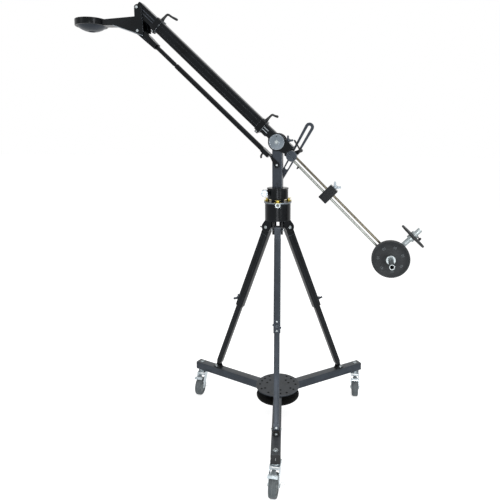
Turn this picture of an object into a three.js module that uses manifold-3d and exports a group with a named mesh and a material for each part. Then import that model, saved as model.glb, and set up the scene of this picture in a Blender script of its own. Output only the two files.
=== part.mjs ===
// A camera jib crane: a counterweighted telescopic boom on a post, on a tripod that stands on a
// three-arm caster dolly. Millimetres, +Z up, +X from the post toward the counterweights. The
// origin is the centre of the top face of the dolly's hub.
import * as THREE from "three";
import { mergeVertices } from "three/addons/utils/BufferGeometryUtils.js";
import Module from "manifold-3d";

const wasm = await Module();
wasm.setup();
const { degToRad, radToDeg } = THREE.MathUtils;

// Clearances, overrun and facets
const gap = 0.3;
const boreGap = 0.3;
const slideGap = 0.5;
const sideGap = 0.6;
const overrun = 4;
const weldDistance = 1e-4;
const roundSides = 16;
const largeSides = 32;
const boltSides = 8;
const hexSides = 6;
const arcSteps = 5;
const finSteps = 3;
const cornerSteps = 1;

// Dolly
const armAzimuth = { front: -80, right: 40, left: 160 };
const trailAzimuth = { front: -89, right: -85, left: -91 };
const armWidth = 44;
const armWall = 3;
const armCornerRadius = 3.5;
const armStart = 30;
const armEndBeyond = 28;
const hubTopRadius = 117;
const hubBottomRadius = 115;
const hubPlateThickness = 6;
const hubBoltRadius = 3.2;
const hubBoltInner = 58;
const hubBoltOuter = 96;
const hubBoltSpread = 15;

// Casters
const casterRadius = 525;
const casterHeight = 137.4;
const casterTrail = 44;
const stemRadius = 5;
const stemHeadRadius = 8.5;
const stemHeadHeight = 5.5;
const wheelRadius = 50;
const wheelSides = 20;
const treadWidth = 32;
const treadShoulder = 3.5;
const tyreDepth = 11;
const wheelWebWidth = 15;
const wheelHubRadius = 12;
const wheelHubWidth = 35;
const axleRadius = 4;
const axleHeadRadius = 8;
const axleHeadHeight = 4;
const raceRadius = 25;
const raceHeight = 11;
const raceNeckRadius = 19;
const raceSlopeShare = 0.7;
const forkThickness = 2.6;
const forkCrownFront = 24;
const forkCrownBack = 30;
const forkEndRadius = 13;
const pedalWidth = 35;
const pedalPadWidth = 45;
const pedalPadLength = 17;
const pedalThickness = 2.6;
const pedalReach = 46;
const pedalDrop = 12;
const pedalPivotRadius = 4;
const pedalPivotBack = 32;
const pedalPivotDrop = 20;
const shoeLength = 14;

// Feet
const footBack = 122;
const footRise = 15;
const footTipRadius = 8.5;
const footTaper = 27;
const footPinRadius = 3.2;
const footBaseThickness = 3;
const footBaseBack = 20;
const footBaseFront = 34;
const footBoltOut = 21;
const footBoltRadius = 3.5;
const footEarThickness = 4;
const footEarRadius = 9.5;
const footEarSpread = 17;
const footBoltHead = 3.5;

// Legs
const legTopRadius = 57;
const legTopHeight = 865;
const legOuterDepth = 38;
const legOuterWidth = 32;
const legInnerDepth = 26;
const legInnerWidth = 25;
const legInnerWall = 2.5;
const legOuterLength = 502;
const legInnerTopDrop = 326;
const legCornerRadius = 2.5;
const legPlugLength = 34;
const legPinRadius = 4;
const legKnobUp = 32;
const clampPlateLength = 48;
const clampPlateWidth = 20;
const clampPlateThickness = 3;
const clampBossRadius = 8;
const clampBossHeight = 3;

// Leg housing
const housingRadius = 66.2;
const housingRise = 42;
const housingHeight = 95;
const housingWall = 9;
const housingRoof = 16;
const housingFlangeRadius = 70.5;
const housingFlangeHeight = 6;
const earThickness = 10;
const earRadius = 26;
const earInner = 23;
const earRise = 8;
const earArcFrom = 198;
const earArcTo = 396;
const pivotHeadRadius = 6.5;
const pivotHeadHeight = 3.5;

// Levelling screws
const levelRadius = 62;
const levelStudRadius = 4;
const nutFlangeRadius = 21;
const nutFlangeHeight = 3.4;
const nutWaistRadius = 13;
const nutHeight = 13.4;

// Pan stage
const stageRadius = 53.3;
const stageHeight = 56;
const stageRimRadius = 55.4;
const stageRimHeight = 5;
const spindleRadius = 20;
const seatRadius = 33;
const panAzimuth = 191;
const panLugReach = 79;
const panLugHeight = 26;
const panLugThickness = 11;
const panSlit = 4;
const panScrewRadius = 4;
const panScrewReach = 67;
const panScrewHeight = 31;
const panKnobRadius = 18;
const panKnobHeight = 14;
const panKnobFlutes = 10;
const panFluteRadius = 2.6;
const panKnobNeck = 18;
const panKnobNeckRadius = 8;

// Post and fulcrum
const postDepth = 50.5;
const postWidth = 42;
const postCornerRadius = 3;
const fulcrumRise = 301;
const linkSpacing = 115;
const postHoleRise = 22;
const postHoleRadius = 3.4;
const axlePinRadius = 8;
const dragDiscRadius = 39.5;
const dragDiscHeight = 6;
const dragRimHeight = 1.5;
const dragRimWidth = 4;
const axleCapRadius = 9;
const axleCapHeight = 5;

// Boom
const boomElevation = 43.1;
const boomReach = 990;
const tubeLift = 3.5;
const outerTubeHeight = 60.5;
const outerTubeWidth = 52;
const boomWall = 3;
const boomCornerRadius = 7;
const outerTubeStart = 100;
const outerTubeEndBack = 118;
const collarLength = 31;
const collarGrow = 3;
const lugLength = 17;
const lugDrop = 12;
const lugWidth = 26;
const leverBossRadius = 9;
const leverBossHeight = 7;
const rearTubeShare = 0.475;
const tubeParting = 45;
const rearTubeHighStart = 27;
const rearTubeLowStart = 68;
const fluteWidth = 5;
const fluteDepth = 2;
const fluteSpacing = 13;
const cheekThickness = 6;
const cheekRadius = 45;
const cheekReach = 66;
const cheekTail = 72;
const cheekTailHigh = 34;
const cheekTailLow = 14;
const cheekLowFrom = 216;
const cheekLowTo = 324;
const cheekHighFrom = 50;
const cheekHighTo = 144;
const noseLength = 108;
const noseReach = 10;
const noseCorner = 4;
const noseLowReach = 8;
const noseHeel = 14;

// Tail block
const tailTop = 38;
const tailUnder = 26;
const tailFront = 24;
const tailBack = 80;
const tailStep = 46;
const tailStepLow = 6;
const tailLow = 23;
const tailLowFront = 72;
const tailKnobAlong = 34;

// Camera bracket and bowl
const bracketPlate = 5;
const bracketTopRadius = 15;
const bracketBack = 28;
const bracketShoulder = 4;
const armRootTop = 44;
const armRootLow = 141;
const armTipTop = 53;
const armTipLow = 77;
const armBend = 138;
const armBendLow = 82;
const armWebStart = 38;
const armWebThickness = 5;
const bowlReach = 274;
const bowlRadius = 83;
const bowlBore = 74;
const bowlRimHeight = 15;
const bowlDepth = 43;
const bowlLowRadius = 69;
const bowlLowBore = 63;
const bowlLift = 7;
const linkPinRadius = 6;
const linkHeadRadius = 9;
const linkHeadHeight = 4;

// Control rod
const rodHeight = 22.7;
const rodWall = 2.4;
const rodCornerRadius = 2;
const rodBlockHeight = 30;
const rodForkEnd = 78;
const rodBlockStart = 62;
const rodBlockEnd = 112;
const rodForkThickness = 4;
const rodPinRadius = 5;
const rodPinHead = 8;
const rodPinHeadHeight = 3;
const rodSleeveEndBack = 120;
const rodFrontBlock = 50;
const rodTipWidth = 45;
const rodLeverBack = 97;

// Elevation lock
const lockAlong = 102;
const lockBlockLength = 30;
const lockBlockTop = 24;
const lockBlockLow = 24;
const lockBlockNear = 22;
const lockKnobRadius = 27;
const lockKnobHeight = 13;
const lockKnobNeck = 12;
const lockKnobGroove = 4;
const lockScrewRadius = 5;
const lockHubAlong = 113;
const lockHubUp = 46;
const lockHubRadius = 10;
const lockHubHeight = 12;
const lockLeverReach = 62;
const lockLeverAngle = 163;
const lockLeverRadius = 4;
const lockTipShare = 1.3;
const barPivotX = -6;
const barPivotDrop = 213;
const barPivotRadius = 6;
const barPlane = 33;
const barThickness = 6;
const barLength = 331;
const barTopRadius = 21;
const barLowRadius = 12;
const barSlotWidth = 13;
const barSlotStart = 93;
const barSlotEnd = 330;

// Counterweight rods, trim block and weight end
const weightRodRadius = 6;
const weightRodSpacing = 21;
const weightRodDroop = 1.6;
const weightRodDrop = 4;
const weightRodLevel = 154;
const weightRodStart = 66;
const weightRodEnd = 800;
const trimStart = 339;
const trimLength = 50;
const trimTop = 41;
const trimLow = 46;
const trimThickness = 35;
const trimCornerRadius = 4;
const endBlockLength = 36;
const endBlockHeight = 50;
const endBlockWidth = 40;
const endBlockCorner = 5;
const crossBarRadius = 12.7;
const crossBarBore = 9.5;
const crossBarReach = 200;
const uprightReach = 198;
const largePlateRadius = 92.5;
const largePlateThickness = 25;
const largePlateAt = 38;
const plateBore = 13.2;
const plateHubRadius = 30;
const plateRimWidth = 12;
const plateDish = 4;
const smallPlateRadius = 73;
const smallPlateThickness = 14;
const smallPlateAt = 142;
const smallHubRadius = 22;
const smallRimWidth = 8;
const smallDish = 2.5;

// Knobs and levers
const wingStemRadius = 3;
const wingHubRadius = 7;
const wingHubHeight = 11;
const wingSpan = 27;
const wingHeight = 11;
const wingThickness = 6;
const wingStemDepth = 3;
const bigWingShare = 1.3;
const wingInnerShare = 0.5;
const wingShoulderShare = 0.7;
const wingDipShare = 0.8;
const leverHubRadius = 8;
const leverHubHeight = 13;
const leverBarRadius = 4.4;
const leverTipRadius = 6.2;
const leverRise = 30;
const rearLeverReach = 33;
const frontLeverReach = 62;
const rodLeverRise = 12;
const rodLeverReach = 17;
const smallLeverShare = 0.6;
const hubTopShare = 0.75;
const leverKneeShare = 0.6;
const leverMiddleShare = 1.2;
const leverEndShare = 1.35;

// Sizes that follow from those
const wheelDrop = casterHeight - wheelRadius;
const armTop = -hubPlateThickness - gap;
const armBottom = armTop - armWidth;
const armMiddle = (armTop + armBottom) / 2;
const armEnd = casterRadius + armEndBeyond;
const footRadius = casterRadius - footBack;
const footHeight = armTop + footRise;
const housingBottom = legTopHeight + housingRise;
const housingTop = housingBottom + housingHeight;
const fulcrumHeight = housingTop + fulcrumRise;
const legRun = footRadius - legTopRadius;
const legDrop = legTopHeight - footHeight;
const legSpan = Math.hypot(legRun, legDrop);
const legLean = radToDeg(Math.atan2(legRun, legDrop));
const legKnobDrop = legOuterLength - legKnobUp;
const stageBottom = housingTop + gap + nutHeight + gap;
const stageTop = stageBottom + stageHeight;
const postHoleHeight = stageTop + postHoleRise;
const outerTubeEnd = boomReach - outerTubeEndBack;
const rearTubeEnd = boomReach * rearTubeShare;
const frontTubeStart = rearTubeEnd + tubeParting;
const frontHeadStart = boomReach - noseLength;
const rodSleeveEnd = boomReach - rodSleeveEndBack;
const cheekInner = postWidth / 2 + sideGap;
const cheekOuter = cheekInner + cheekThickness;
const innerTubeHeight = outerTubeHeight - 2 * boomWall - 2 * slideGap;
const innerTubeWidth = outerTubeWidth - 2 * boomWall - 2 * slideGap;
const bracketInner = innerTubeWidth / 2 + sideGap;
const bracketOuter = bracketInner + bracketPlate;
const rodBore = rodHeight - 2 * rodWall;
const rodCore = rodBore - 2 * slideGap;
const rodForkInner = postWidth / 2 + sideGap;
const rodForkOuter = rodForkInner + rodForkThickness;
const weightRodOffset = weightRodSpacing / 2;
const wheelGap = wheelHubWidth / 2 + sideGap;
const forkOuter = wheelGap + forkThickness;

// Materials
function finish(color, roughness, metalness) {
  return new THREE.MeshStandardMaterial({ color, roughness, metalness });
}
const satinBlack = finish(0x2a2e33, 0.42, 0.55);
const slateGrey = finish(0x3e434c, 0.45, 0.6);
const hubGrey = finish(0x474b55, 0.5, 0.5);
const discGrey = finish(0x7d858c, 0.38, 0.8);
const zincPlate = finish(0xb9c4c8, 0.32, 0.9);
const casterRubber = finish(0x6b7070, 0.8, 0);
const brassMetal = finish(0xb08d3c, 0.35, 0.95);
const polishedSteel = finish(0xb6b3a6, 0.2, 1);
const silverKnob = finish(0xccd2d6, 0.3, 0.85);
const castIron = finish(0x34383d, 0.65, 0.4);
const blackPlastic = finish(0x1b1d20, 0.45, 0.1);

// Solids
function solidOf(geometry) {
  geometry.deleteAttribute("normal");
  geometry.deleteAttribute("uv");
  const merged = mergeVertices(geometry, weldDistance);
  const corners = merged.index.array;
  const faces = [];
  for (let i = 0; i < corners.length; i += 3) {
    const [a, b, c] = [corners[i], corners[i + 1], corners[i + 2]];
    if (a !== b && b !== c && a !== c) faces.push(a, b, c);
  }
  const vertProperties = new Float32Array(merged.attributes.position.array);
  const triVerts = new Uint32Array(faces);
  return new wasm.Manifold(new wasm.Mesh({ numProp: 3, vertProperties, triVerts }));
}

// The radius of a faceted hole that clears a faceted bar, whichever way their corners lie
function holeFor(radius, sides = boltSides) {
  return radius / Math.cos(Math.PI / sides) + boreGap;
}

function join(...solids) {
  return solids.reduce((whole, solid) => whole.add(solid));
}

function cut(body, ...tools) {
  return tools.reduce((rest, tool) => rest.subtract(tool), body);
}

// A box from its two extreme coordinates along each axis
function box([x0, x1], [y0, y1], [z0, z1]) {
  const geometry = new THREE.BoxGeometry(x1 - x0, y1 - y0, z1 - z0);
  return solidOf(geometry.translate((x0 + x1) / 2, (y0 + y1) / 2, (z0 + z1) / 2));
}

// Round bars along each axis, from one coordinate to another
function barZ(radius, [z0, z1], x = 0, y = 0, sides = roundSides) {
  const geometry = new THREE.CylinderGeometry(radius, radius, z1 - z0, sides);
  return solidOf(geometry.rotateX(Math.PI / 2).translate(x, y, (z0 + z1) / 2));
}

function barY(radius, [y0, y1], x = 0, z = 0, sides = roundSides) {
  const geometry = new THREE.CylinderGeometry(radius, radius, y1 - y0, sides);
  return solidOf(geometry.translate(x, (y0 + y1) / 2, z));
}

function barX(radius, [x0, x1], y = 0, z = 0, sides = roundSides) {
  const geometry = new THREE.CylinderGeometry(radius, radius, x1 - x0, sides);
  return solidOf(geometry.rotateZ(Math.PI / 2).translate((x0 + x1) / 2, y, z));
}

// A profile of radius and height pairs turned about Z, closed on the axis or on itself
function revolve(profile, sides = roundSides) {
  const points = profile.map(([radius, height]) => new THREE.Vector2(radius, height));
  if (THREE.ShapeUtils.area(points) < 0) points.reverse();
  if (profile[0][0] > 0) points.push(points[0].clone());
  return solidOf(new THREE.LatheGeometry(points, sides).rotateX(Math.PI / 2));
}

// A flat outline given thickness along Z, along Y (drawn in X and Z) or along X (drawn in Y and Z)
function plateZ(shape, [z0, z1], curveSegments = arcSteps) {
  const options = { depth: z1 - z0, bevelEnabled: false, curveSegments };
  return solidOf(new THREE.ExtrudeGeometry(shape, options).translate(0, 0, z0));
}

function plateY(shape, [y0, y1], curveSegments = arcSteps) {
  const options = { depth: y1 - y0, bevelEnabled: false, curveSegments };
  const geometry = new THREE.ExtrudeGeometry(shape, options);
  return solidOf(geometry.rotateX(Math.PI / 2).translate(0, y1, 0));
}

function plateX(shape, [x0, x1], curveSegments = cornerSteps) {
  const options = { depth: x1 - x0, bevelEnabled: false, curveSegments };
  const geometry = new THREE.ExtrudeGeometry(shape, options);
  return solidOf(geometry.rotateX(Math.PI / 2).rotateZ(Math.PI / 2).translate(x0, 0, 0));
}

function polygon(points) {
  return new THREE.Shape(points.map(([x, y]) => new THREE.Vector2(x, y)));
}

function roundedRectangle(width, height, radius) {
  const shape = new THREE.Shape();
  const [x, y] = [width / 2 - radius, height / 2 - radius];
  shape.absarc(x, y, radius, 0, Math.PI / 2);
  shape.absarc(-x, y, radius, Math.PI / 2, Math.PI);
  shape.absarc(-x, -y, radius, Math.PI, 1.5 * Math.PI);
  shape.absarc(x, -y, radius, 1.5 * Math.PI, 2 * Math.PI);
  return shape;
}

// The outline of a belt round two circles, the first at the start and the second at the end
function taperedLink([x0, y0], radius0, [x1, y1], radius1) {
  const length = Math.hypot(x1 - x0, y1 - y0);
  const turn = Math.atan2(y1 - y0, x1 - x0);
  const open = Math.acos((radius0 - radius1) / length);
  const shape = new THREE.Shape();
  shape.absarc(x0, y0, radius0, turn + open, turn - open + 2 * Math.PI);
  shape.absarc(x1, y1, radius1, turn - open, turn + open);
  return shape;
}

// A round bar along a smooth path, with a ball at its end if a tip radius is given
function bentBar(points, radius, tipRadius) {
  const path = new THREE.CatmullRomCurve3(points.map((p) => new THREE.Vector3(...p)));
  const section = new THREE.Shape().absarc(0, 0, radius, 0, 2 * Math.PI);
  const steps = 2 * (points.length - 1);
  const options = { steps, extrudePath: path, curveSegments: 4, bevelEnabled: false };
  const bar = solidOf(new THREE.ExtrudeGeometry(section, options));
  if (!tipRadius) return bar;
  const ball = solidOf(new THREE.SphereGeometry(tipRadius, boltSides, hexSides).translate(...points.at(-1)));
  return bar.add(ball);
}

// The scene graph
const crane = new THREE.Group();

function place(parent, [x, y, z], [turnX, turnY, turnZ] = [0, 0, 0]) {
  const group = new THREE.Group();
  const [rx, ry, rz] = [turnX, turnY, turnZ].map(degToRad);
  group.position.set(x, y, z);
  group.rotation.set(rx, ry, rz);
  parent.add(group);
  return group;
}

function addPiece(parent, name, solid, material) {
  const made = solid.getMesh();
  const geometry = new THREE.BufferGeometry();
  geometry.setAttribute("position", new THREE.BufferAttribute(made.vertProperties, 3));
  geometry.setIndex(new THREE.BufferAttribute(made.triVerts, 1));
  const mesh = new THREE.Mesh(geometry, material);
  mesh.name = name;
  parent.add(mesh);
}

// A wing knob standing up from z = 0: a stem below, a hub and two swept wings
function wingKnob(share = 1) {
  const half = (wingSpan * share) / 2;
  const hub = wingHubRadius * share;
  const high = wingHubHeight * share;
  const wingTop = high + (wingHeight * share) / 2;
  const thick = (wingThickness * share) / 2;
  const wings = new THREE.Shape();
  wings.moveTo(-hub / 2, gap);
  wings.lineTo(hub / 2, gap);
  wings.quadraticCurveTo(half, high / 4, half, wingTop);
  wings.quadraticCurveTo(half * wingShoulderShare, wingTop + thick, half * wingInnerShare, high);
  wings.quadraticCurveTo(0, high * wingDipShare, -half * wingInnerShare, high);
  wings.quadraticCurveTo(-half * wingShoulderShare, wingTop + thick, -half, wingTop);
  wings.quadraticCurveTo(-half, high / 4, -hub / 2, gap);
  return join(
    barZ(wingStemRadius * share, [-wingStemDepth * share, high / 2], 0, 0, boltSides),
    barZ(hub, [gap, high], 0, 0, boltSides),
    plateY(wings, [-thick, thick], finSteps),
  );
}

// A bent clamp lever standing up from z = 0, its arm reaching along +X
function clampLever(reach, rise, share = 1) {
  const hub = leverHubRadius * share;
  const high = leverHubHeight * share;
  const route = [
    [0, 0, high / 2],
    [hub / 4, 0, high + rise * leverKneeShare],
    [hub, 0, high + rise],
    [reach / 2, 0, high + rise * leverMiddleShare],
    [reach, 0, high + rise * leverEndShare],
  ];
  const cone = revolve([
    [0, gap],
    [hub, gap],
    [hub, high / 2],
    [hub * hubTopShare, high],
    [0, high],
  ], boltSides);
  return cone.add(bentBar(route, leverBarRadius * share, leverTipRadius * share));
}

// Dolly hub and arms
function hubPlate(radius, [z0, z1]) {
  const holes = [];
  for (const azimuth of Object.values(armAzimuth)) {
    for (const along of [hubBoltInner, hubBoltOuter]) {
      for (const side of [-hubBoltSpread, hubBoltSpread]) {
        const hole = barZ(hubBoltRadius, [z0 - overrun, z1 + overrun], along, side, hexSides);
        holes.push(hole.rotate([0, 0, azimuth]));
      }
    }
  }
  return cut(barZ(radius, [z0, z1], 0, 0, largeSides), ...holes);
}

function armTube() {
  const outline = roundedRectangle(armWidth, armWidth, armCornerRadius);
  const inner = armWidth - 2 * armWall;
  outline.holes.push(roundedRectangle(inner, inner, armCornerRadius - armWall / 2));
  const tube = plateX(outline, [armStart, armEnd]).translate([0, 0, armMiddle]);
  const bolts = [armBottom - overrun, armTop + overrun];
  return cut(tube, barZ(holeFor(stemRadius), bolts, casterRadius, 0, boltSides));
}

function footBracket() {
  const base = armTop + gap;
  const baseTop = base + footBaseThickness;
  const earInside = legInnerWidth / 2 + sideGap;
  const earOutside = earInside + footEarThickness;
  const [back, front] = [footRadius - footBaseBack, footRadius + footBaseFront];
  const flange = new THREE.Shape();
  flange.moveTo(back, earOutside);
  flange.lineTo(back, -earOutside);
  flange.absarc(front - earOutside, 0, earOutside, -Math.PI / 2, Math.PI / 2);
  const plate = plateZ(flange, [base, baseTop], finSteps);
  const boltHole = barZ(footBoltRadius, [base - overrun, baseTop + overrun],
    footRadius + footBoltOut, 0, hexSides);
  const ear = new THREE.Shape();
  ear.moveTo(footRadius - footEarSpread, base);
  ear.lineTo(footRadius + footEarSpread, base);
  ear.absarc(footRadius, footHeight, footEarRadius, Math.PI / 8, Math.PI * 7 / 8);
  const pieces = [cut(plate, boltHole)];
  for (const [near, far, head] of [
    [earInside, earOutside, earOutside + footBoltHead],
    [-earOutside, -earInside, -earOutside - footBoltHead],
  ]) {
    pieces.push(plateY(ear, [near, far], finSteps));
    const bolt = [Math.min(far, head, near), Math.max(near, head, far)];
    pieces.push(barY(legPinRadius + footPinRadius / 2, bolt, footRadius, footHeight, hexSides));
  }
  return join(...pieces);
}

// Casters, about the swivel axis, with z = 0 at the underside of the arm and the trail along +X
function casterFork() {
  const race = revolve([
    [0, -gap],
    [raceNeckRadius, -gap],
    [raceNeckRadius, -raceHeight / 2],
    [raceRadius, -raceHeight * raceSlopeShare],
    [raceRadius, -raceHeight],
    [0, -raceHeight],
  ]);
  const crownLow = -raceHeight - forkThickness;
  const crown = box([-forkCrownFront, forkCrownBack], [-forkOuter, forkOuter], [crownLow, -raceHeight]);
  const side = new THREE.Shape();
  side.moveTo(-forkCrownFront, -raceHeight);
  side.lineTo(-forkCrownFront, crownLow - forkThickness);
  side.lineTo(casterTrail - forkEndRadius, -wheelDrop);
  side.absarc(casterTrail, -wheelDrop, forkEndRadius, Math.PI, 2 * Math.PI);
  side.lineTo(forkCrownBack + forkEndRadius / 2, crownLow - forkEndRadius);
  side.lineTo(forkCrownBack, -raceHeight);
  const axleEnd = forkOuter + axleHeadHeight;
  const stemTop = armWidth + gap + stemHeadHeight;
  return join(
    race,
    crown,
    plateY(side, [wheelGap, forkOuter], finSteps),
    plateY(side, [-forkOuter, -wheelGap], finSteps),
    barY(axleRadius, [-axleEnd, axleEnd], casterTrail, -wheelDrop, boltSides),
    barY(axleHeadRadius, [forkOuter, axleEnd], casterTrail, -wheelDrop, hexSides),
    barY(axleHeadRadius, [-axleEnd, -forkOuter], casterTrail, -wheelDrop, hexSides),
    barZ(stemRadius, [-raceHeight, stemTop], 0, 0, boltSides),
    barZ(stemHeadRadius, [armWidth + gap, stemTop], 0, 0, hexSides),
  );
}

function casterWheel() {
  const [tread, web, hub] = [treadWidth / 2, wheelWebWidth / 2, wheelHubWidth / 2];
  const rim = wheelRadius - tyreDepth;
  const bore = holeFor(axleRadius);
  const half = [
    [bore, hub],
    [wheelHubRadius, hub],
    [wheelHubRadius + treadShoulder, web],
    [rim - treadShoulder, web],
    [rim, tread - treadShoulder / 2],
    [wheelRadius - treadShoulder, tread],
    [wheelRadius, tread - treadShoulder],
  ];
  const mirrored = half.map(([radius, height]) => [radius, -height]).reverse();
  return revolve([...half, ...mirrored], wheelSides)
    .rotate([90, 0, 0])
    .translate([casterTrail, 0, -wheelDrop]);
}

// The pedal turns on its pin at the back of the crown and presses its shoe on the tread
function casterBrake() {
  const half = pedalThickness / 2;
  const slope = Math.atan2(pedalDrop, pedalReach);
  const down = radToDeg(slope);
  const shoeAlong = casterTrail - pedalPivotBack + shoeLength;
  const shoeLow = -wheelDrop + wheelRadius + gap;
  const shoeBack = pedalPivotBack + shoeAlong;
  const tongue = box([0, pedalReach], [-pedalWidth / 2, pedalWidth / 2], [-half, half]);
  const pad = box([pedalReach - gap, pedalReach + pedalPadLength],
    [-pedalPadWidth / 2, pedalPadWidth / 2], [-half, half]);
  const plate = join(tongue, pad).rotate([0, down, 0]).translate([pedalPivotBack, 0, -pedalPivotDrop]);
  const pinEnd = wheelGap - gap;
  const shoe = polygon([
    [casterTrail - shoeLength / 2, -pedalPivotDrop - pedalDrop / 4],
    [casterTrail - shoeLength / 2, shoeLow],
    [casterTrail + shoeLength / 2, shoeLow],
    [shoeBack, -pedalPivotDrop - pedalDrop / 2],
  ]);
  return join(
    plate,
    barY(pedalPivotRadius, [-pinEnd, pinEnd], pedalPivotBack, -pedalPivotDrop, boltSides),
    plateY(shoe, [-treadWidth / 4, treadWidth / 4]),
  );
}

function addCaster(arm, side) {
  const caster = place(arm, [casterRadius, 0, armBottom],
    [0, 0, trailAzimuth[side] - armAzimuth[side]]);
  addPiece(caster, `caster_fork_${side}`, casterFork(), zincPlate);
  addPiece(caster, `caster_wheel_${side}`, casterWheel(), casterRubber);
  addPiece(caster, `caster_brake_${side}`, casterBrake(), zincPlate);
}

const lowPlateTop = armBottom - gap;
addPiece(crane, "hub_plate_top", hubPlate(hubTopRadius, [-hubPlateThickness, 0]), hubGrey);
addPiece(crane, "hub_plate_bottom",
  hubPlate(hubBottomRadius, [lowPlateTop - hubPlateThickness, lowPlateTop]), satinBlack);
for (const [side, azimuth] of Object.entries(armAzimuth)) {
  const arm = place(crane, [0, 0, 0], [0, 0, azimuth]);
  addPiece(arm, `dolly_arm_${side}`, armTube(), slateGrey);
  addPiece(arm, `foot_bracket_${side}`, footBracket(), satinBlack);
  addCaster(arm, side);
}

// Legs, each about its top pivot with the tube running down -Z and its outward face toward +X
function legOuter() {
  const [depth, width] = [legOuterDepth / 2, legOuterWidth / 2];
  const outline = new THREE.Shape();
  outline.moveTo(-depth, -legOuterLength);
  outline.lineTo(depth, -legOuterLength);
  outline.absarc(0, 0, depth, 0, Math.PI);
  const hollow = roundedRectangle(legInnerDepth + 2 * slideGap, legInnerWidth + 2 * slideGap,
    legCornerRadius);
  const plateLow = -legKnobDrop - clampPlateLength / 2;
  const plateOut = depth + clampPlateThickness;
  const boss = plateOut + clampBossHeight;
  const body = join(
    plateY(outline, [-width, width]),
    box([depth - gap, plateOut], [-clampPlateWidth / 2, clampPlateWidth / 2],
      [plateLow, plateLow + clampPlateLength]),
    barX(clampBossRadius, [depth - gap, boss], 0, -legKnobDrop, boltSides),
  );
  return cut(body,
    plateZ(hollow, [-legOuterLength - overrun, -legPlugLength], cornerSteps),
    barY(holeFor(legPinRadius), [-width - overrun, width + overrun], 0, 0, boltSides),
    barX(holeFor(wingStemRadius), [0, boss + overrun], 0, -legKnobDrop, boltSides),
  );
}

function legInner() {
  const [depth, width] = [legInnerDepth / 2, legInnerWidth / 2];
  const top = -legInnerTopDrop;
  const tongueTop = -legSpan + footTaper;
  const tube = roundedRectangle(legInnerDepth, legInnerWidth, legCornerRadius);
  const hollow = roundedRectangle(legInnerDepth - 2 * legInnerWall,
    legInnerWidth - 2 * legInnerWall, legCornerRadius / 2);
  const foot = new THREE.Shape();
  foot.moveTo(depth - legInnerWall / 2, tongueTop + overrun);
  foot.lineTo(-depth + legInnerWall / 2, tongueTop + overrun);
  foot.lineTo(-depth + legInnerWall / 2, tongueTop);
  foot.absarc(0, -legSpan, footTipRadius, Math.PI, 2 * Math.PI);
  foot.lineTo(depth - legInnerWall / 2, tongueTop);
  const body = join(
    plateZ(tube, [tongueTop, top], cornerSteps),
    plateY(foot, [-width, width], finSteps),
  );
  return cut(body,
    plateZ(hollow, [tongueTop + overrun, top + overrun], cornerSteps),
    barY(footPinRadius, [-width - overrun, width + overrun], 0, -legSpan, hexSides),
  );
}

function housing() {
  const flangeLow = housingTop - housingFlangeHeight;
  const roof = housingTop - housingRoof;
  const shell = revolve([
    [holeFor(spindleRadius, roundSides), roof],
    [housingRadius - housingWall, roof],
    [housingRadius - housingWall, housingBottom],
    [housingRadius, housingBottom],
    [housingRadius, flangeLow - housingFlangeHeight / 2],
    [housingFlangeRadius, flangeLow],
    [housingFlangeRadius, housingTop],
    [holeFor(spindleRadius, roundSides), housingTop],
  ], largeSides);
  const inside = legOuterWidth / 2 + sideGap;
  const outside = inside + earThickness;
  const head = outside + pivotHeadHeight;
  const reach = housingRadius - housingWall / 2;
  const ear = new THREE.Shape();
  ear.moveTo(earInner, housingBottom + earRise);
  ear.lineTo(earInner, legTopHeight);
  ear.absarc(legTopRadius, legTopHeight, earRadius, degToRad(earArcFrom), degToRad(earArcTo));
  ear.lineTo(Math.sqrt(reach ** 2 - outside ** 2), housingBottom + earRise);
  const pieces = [shell];
  for (const azimuth of Object.values(armAzimuth)) {
    const clevis = join(
      plateY(ear, [inside, outside]),
      plateY(ear, [-outside, -inside]),
      barY(legPinRadius, [-head, head], legTopRadius, legTopHeight, boltSides),
      barY(pivotHeadRadius, [-head, -outside + gap], legTopRadius, legTopHeight, hexSides),
      barY(pivotHeadRadius, [outside - gap, head], legTopRadius, legTopHeight, hexSides),
      barZ(levelStudRadius, [housingTop - gap, stageBottom - gap], levelRadius, 0, boltSides),
    );
    pieces.push(clevis.rotate([0, 0, azimuth]));
  }
  return join(...pieces);
}

function levelNut() {
  const bore = holeFor(levelStudRadius);
  const low = housingTop + gap;
  const high = low + nutHeight;
  return revolve([
    [bore, low],
    [nutFlangeRadius, low],
    [nutFlangeRadius, low + nutFlangeHeight],
    [nutWaistRadius, low + nutFlangeHeight],
    [nutWaistRadius, high - nutFlangeHeight],
    [nutFlangeRadius, high - nutFlangeHeight],
    [nutFlangeRadius, high],
    [bore, high],
  ]).translate([levelRadius, 0, 0]);
}

addPiece(crane, "leg_housing", housing(), satinBlack);
for (const [side, azimuth] of Object.entries(armAzimuth)) {
  const plane = place(crane, [0, 0, 0], [0, 0, azimuth]);
  const leg = place(plane, [legTopRadius, 0, legTopHeight], [0, -legLean, 0]);
  addPiece(leg, `leg_outer_${side}`, legOuter(), slateGrey);
  addPiece(leg, `leg_inner_${side}`, legInner(), satinBlack);
  const knobFace = legOuterDepth / 2 + clampPlateThickness + clampBossHeight;
  const knob = place(leg, [knobFace, 0, -legKnobDrop], [0, 90, 0]);
  addPiece(knob, `leg_knob_${side}`, wingKnob(), silverKnob);
  addPiece(plane, `level_nut_${side}`, levelNut(), brassMetal);
}

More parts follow.
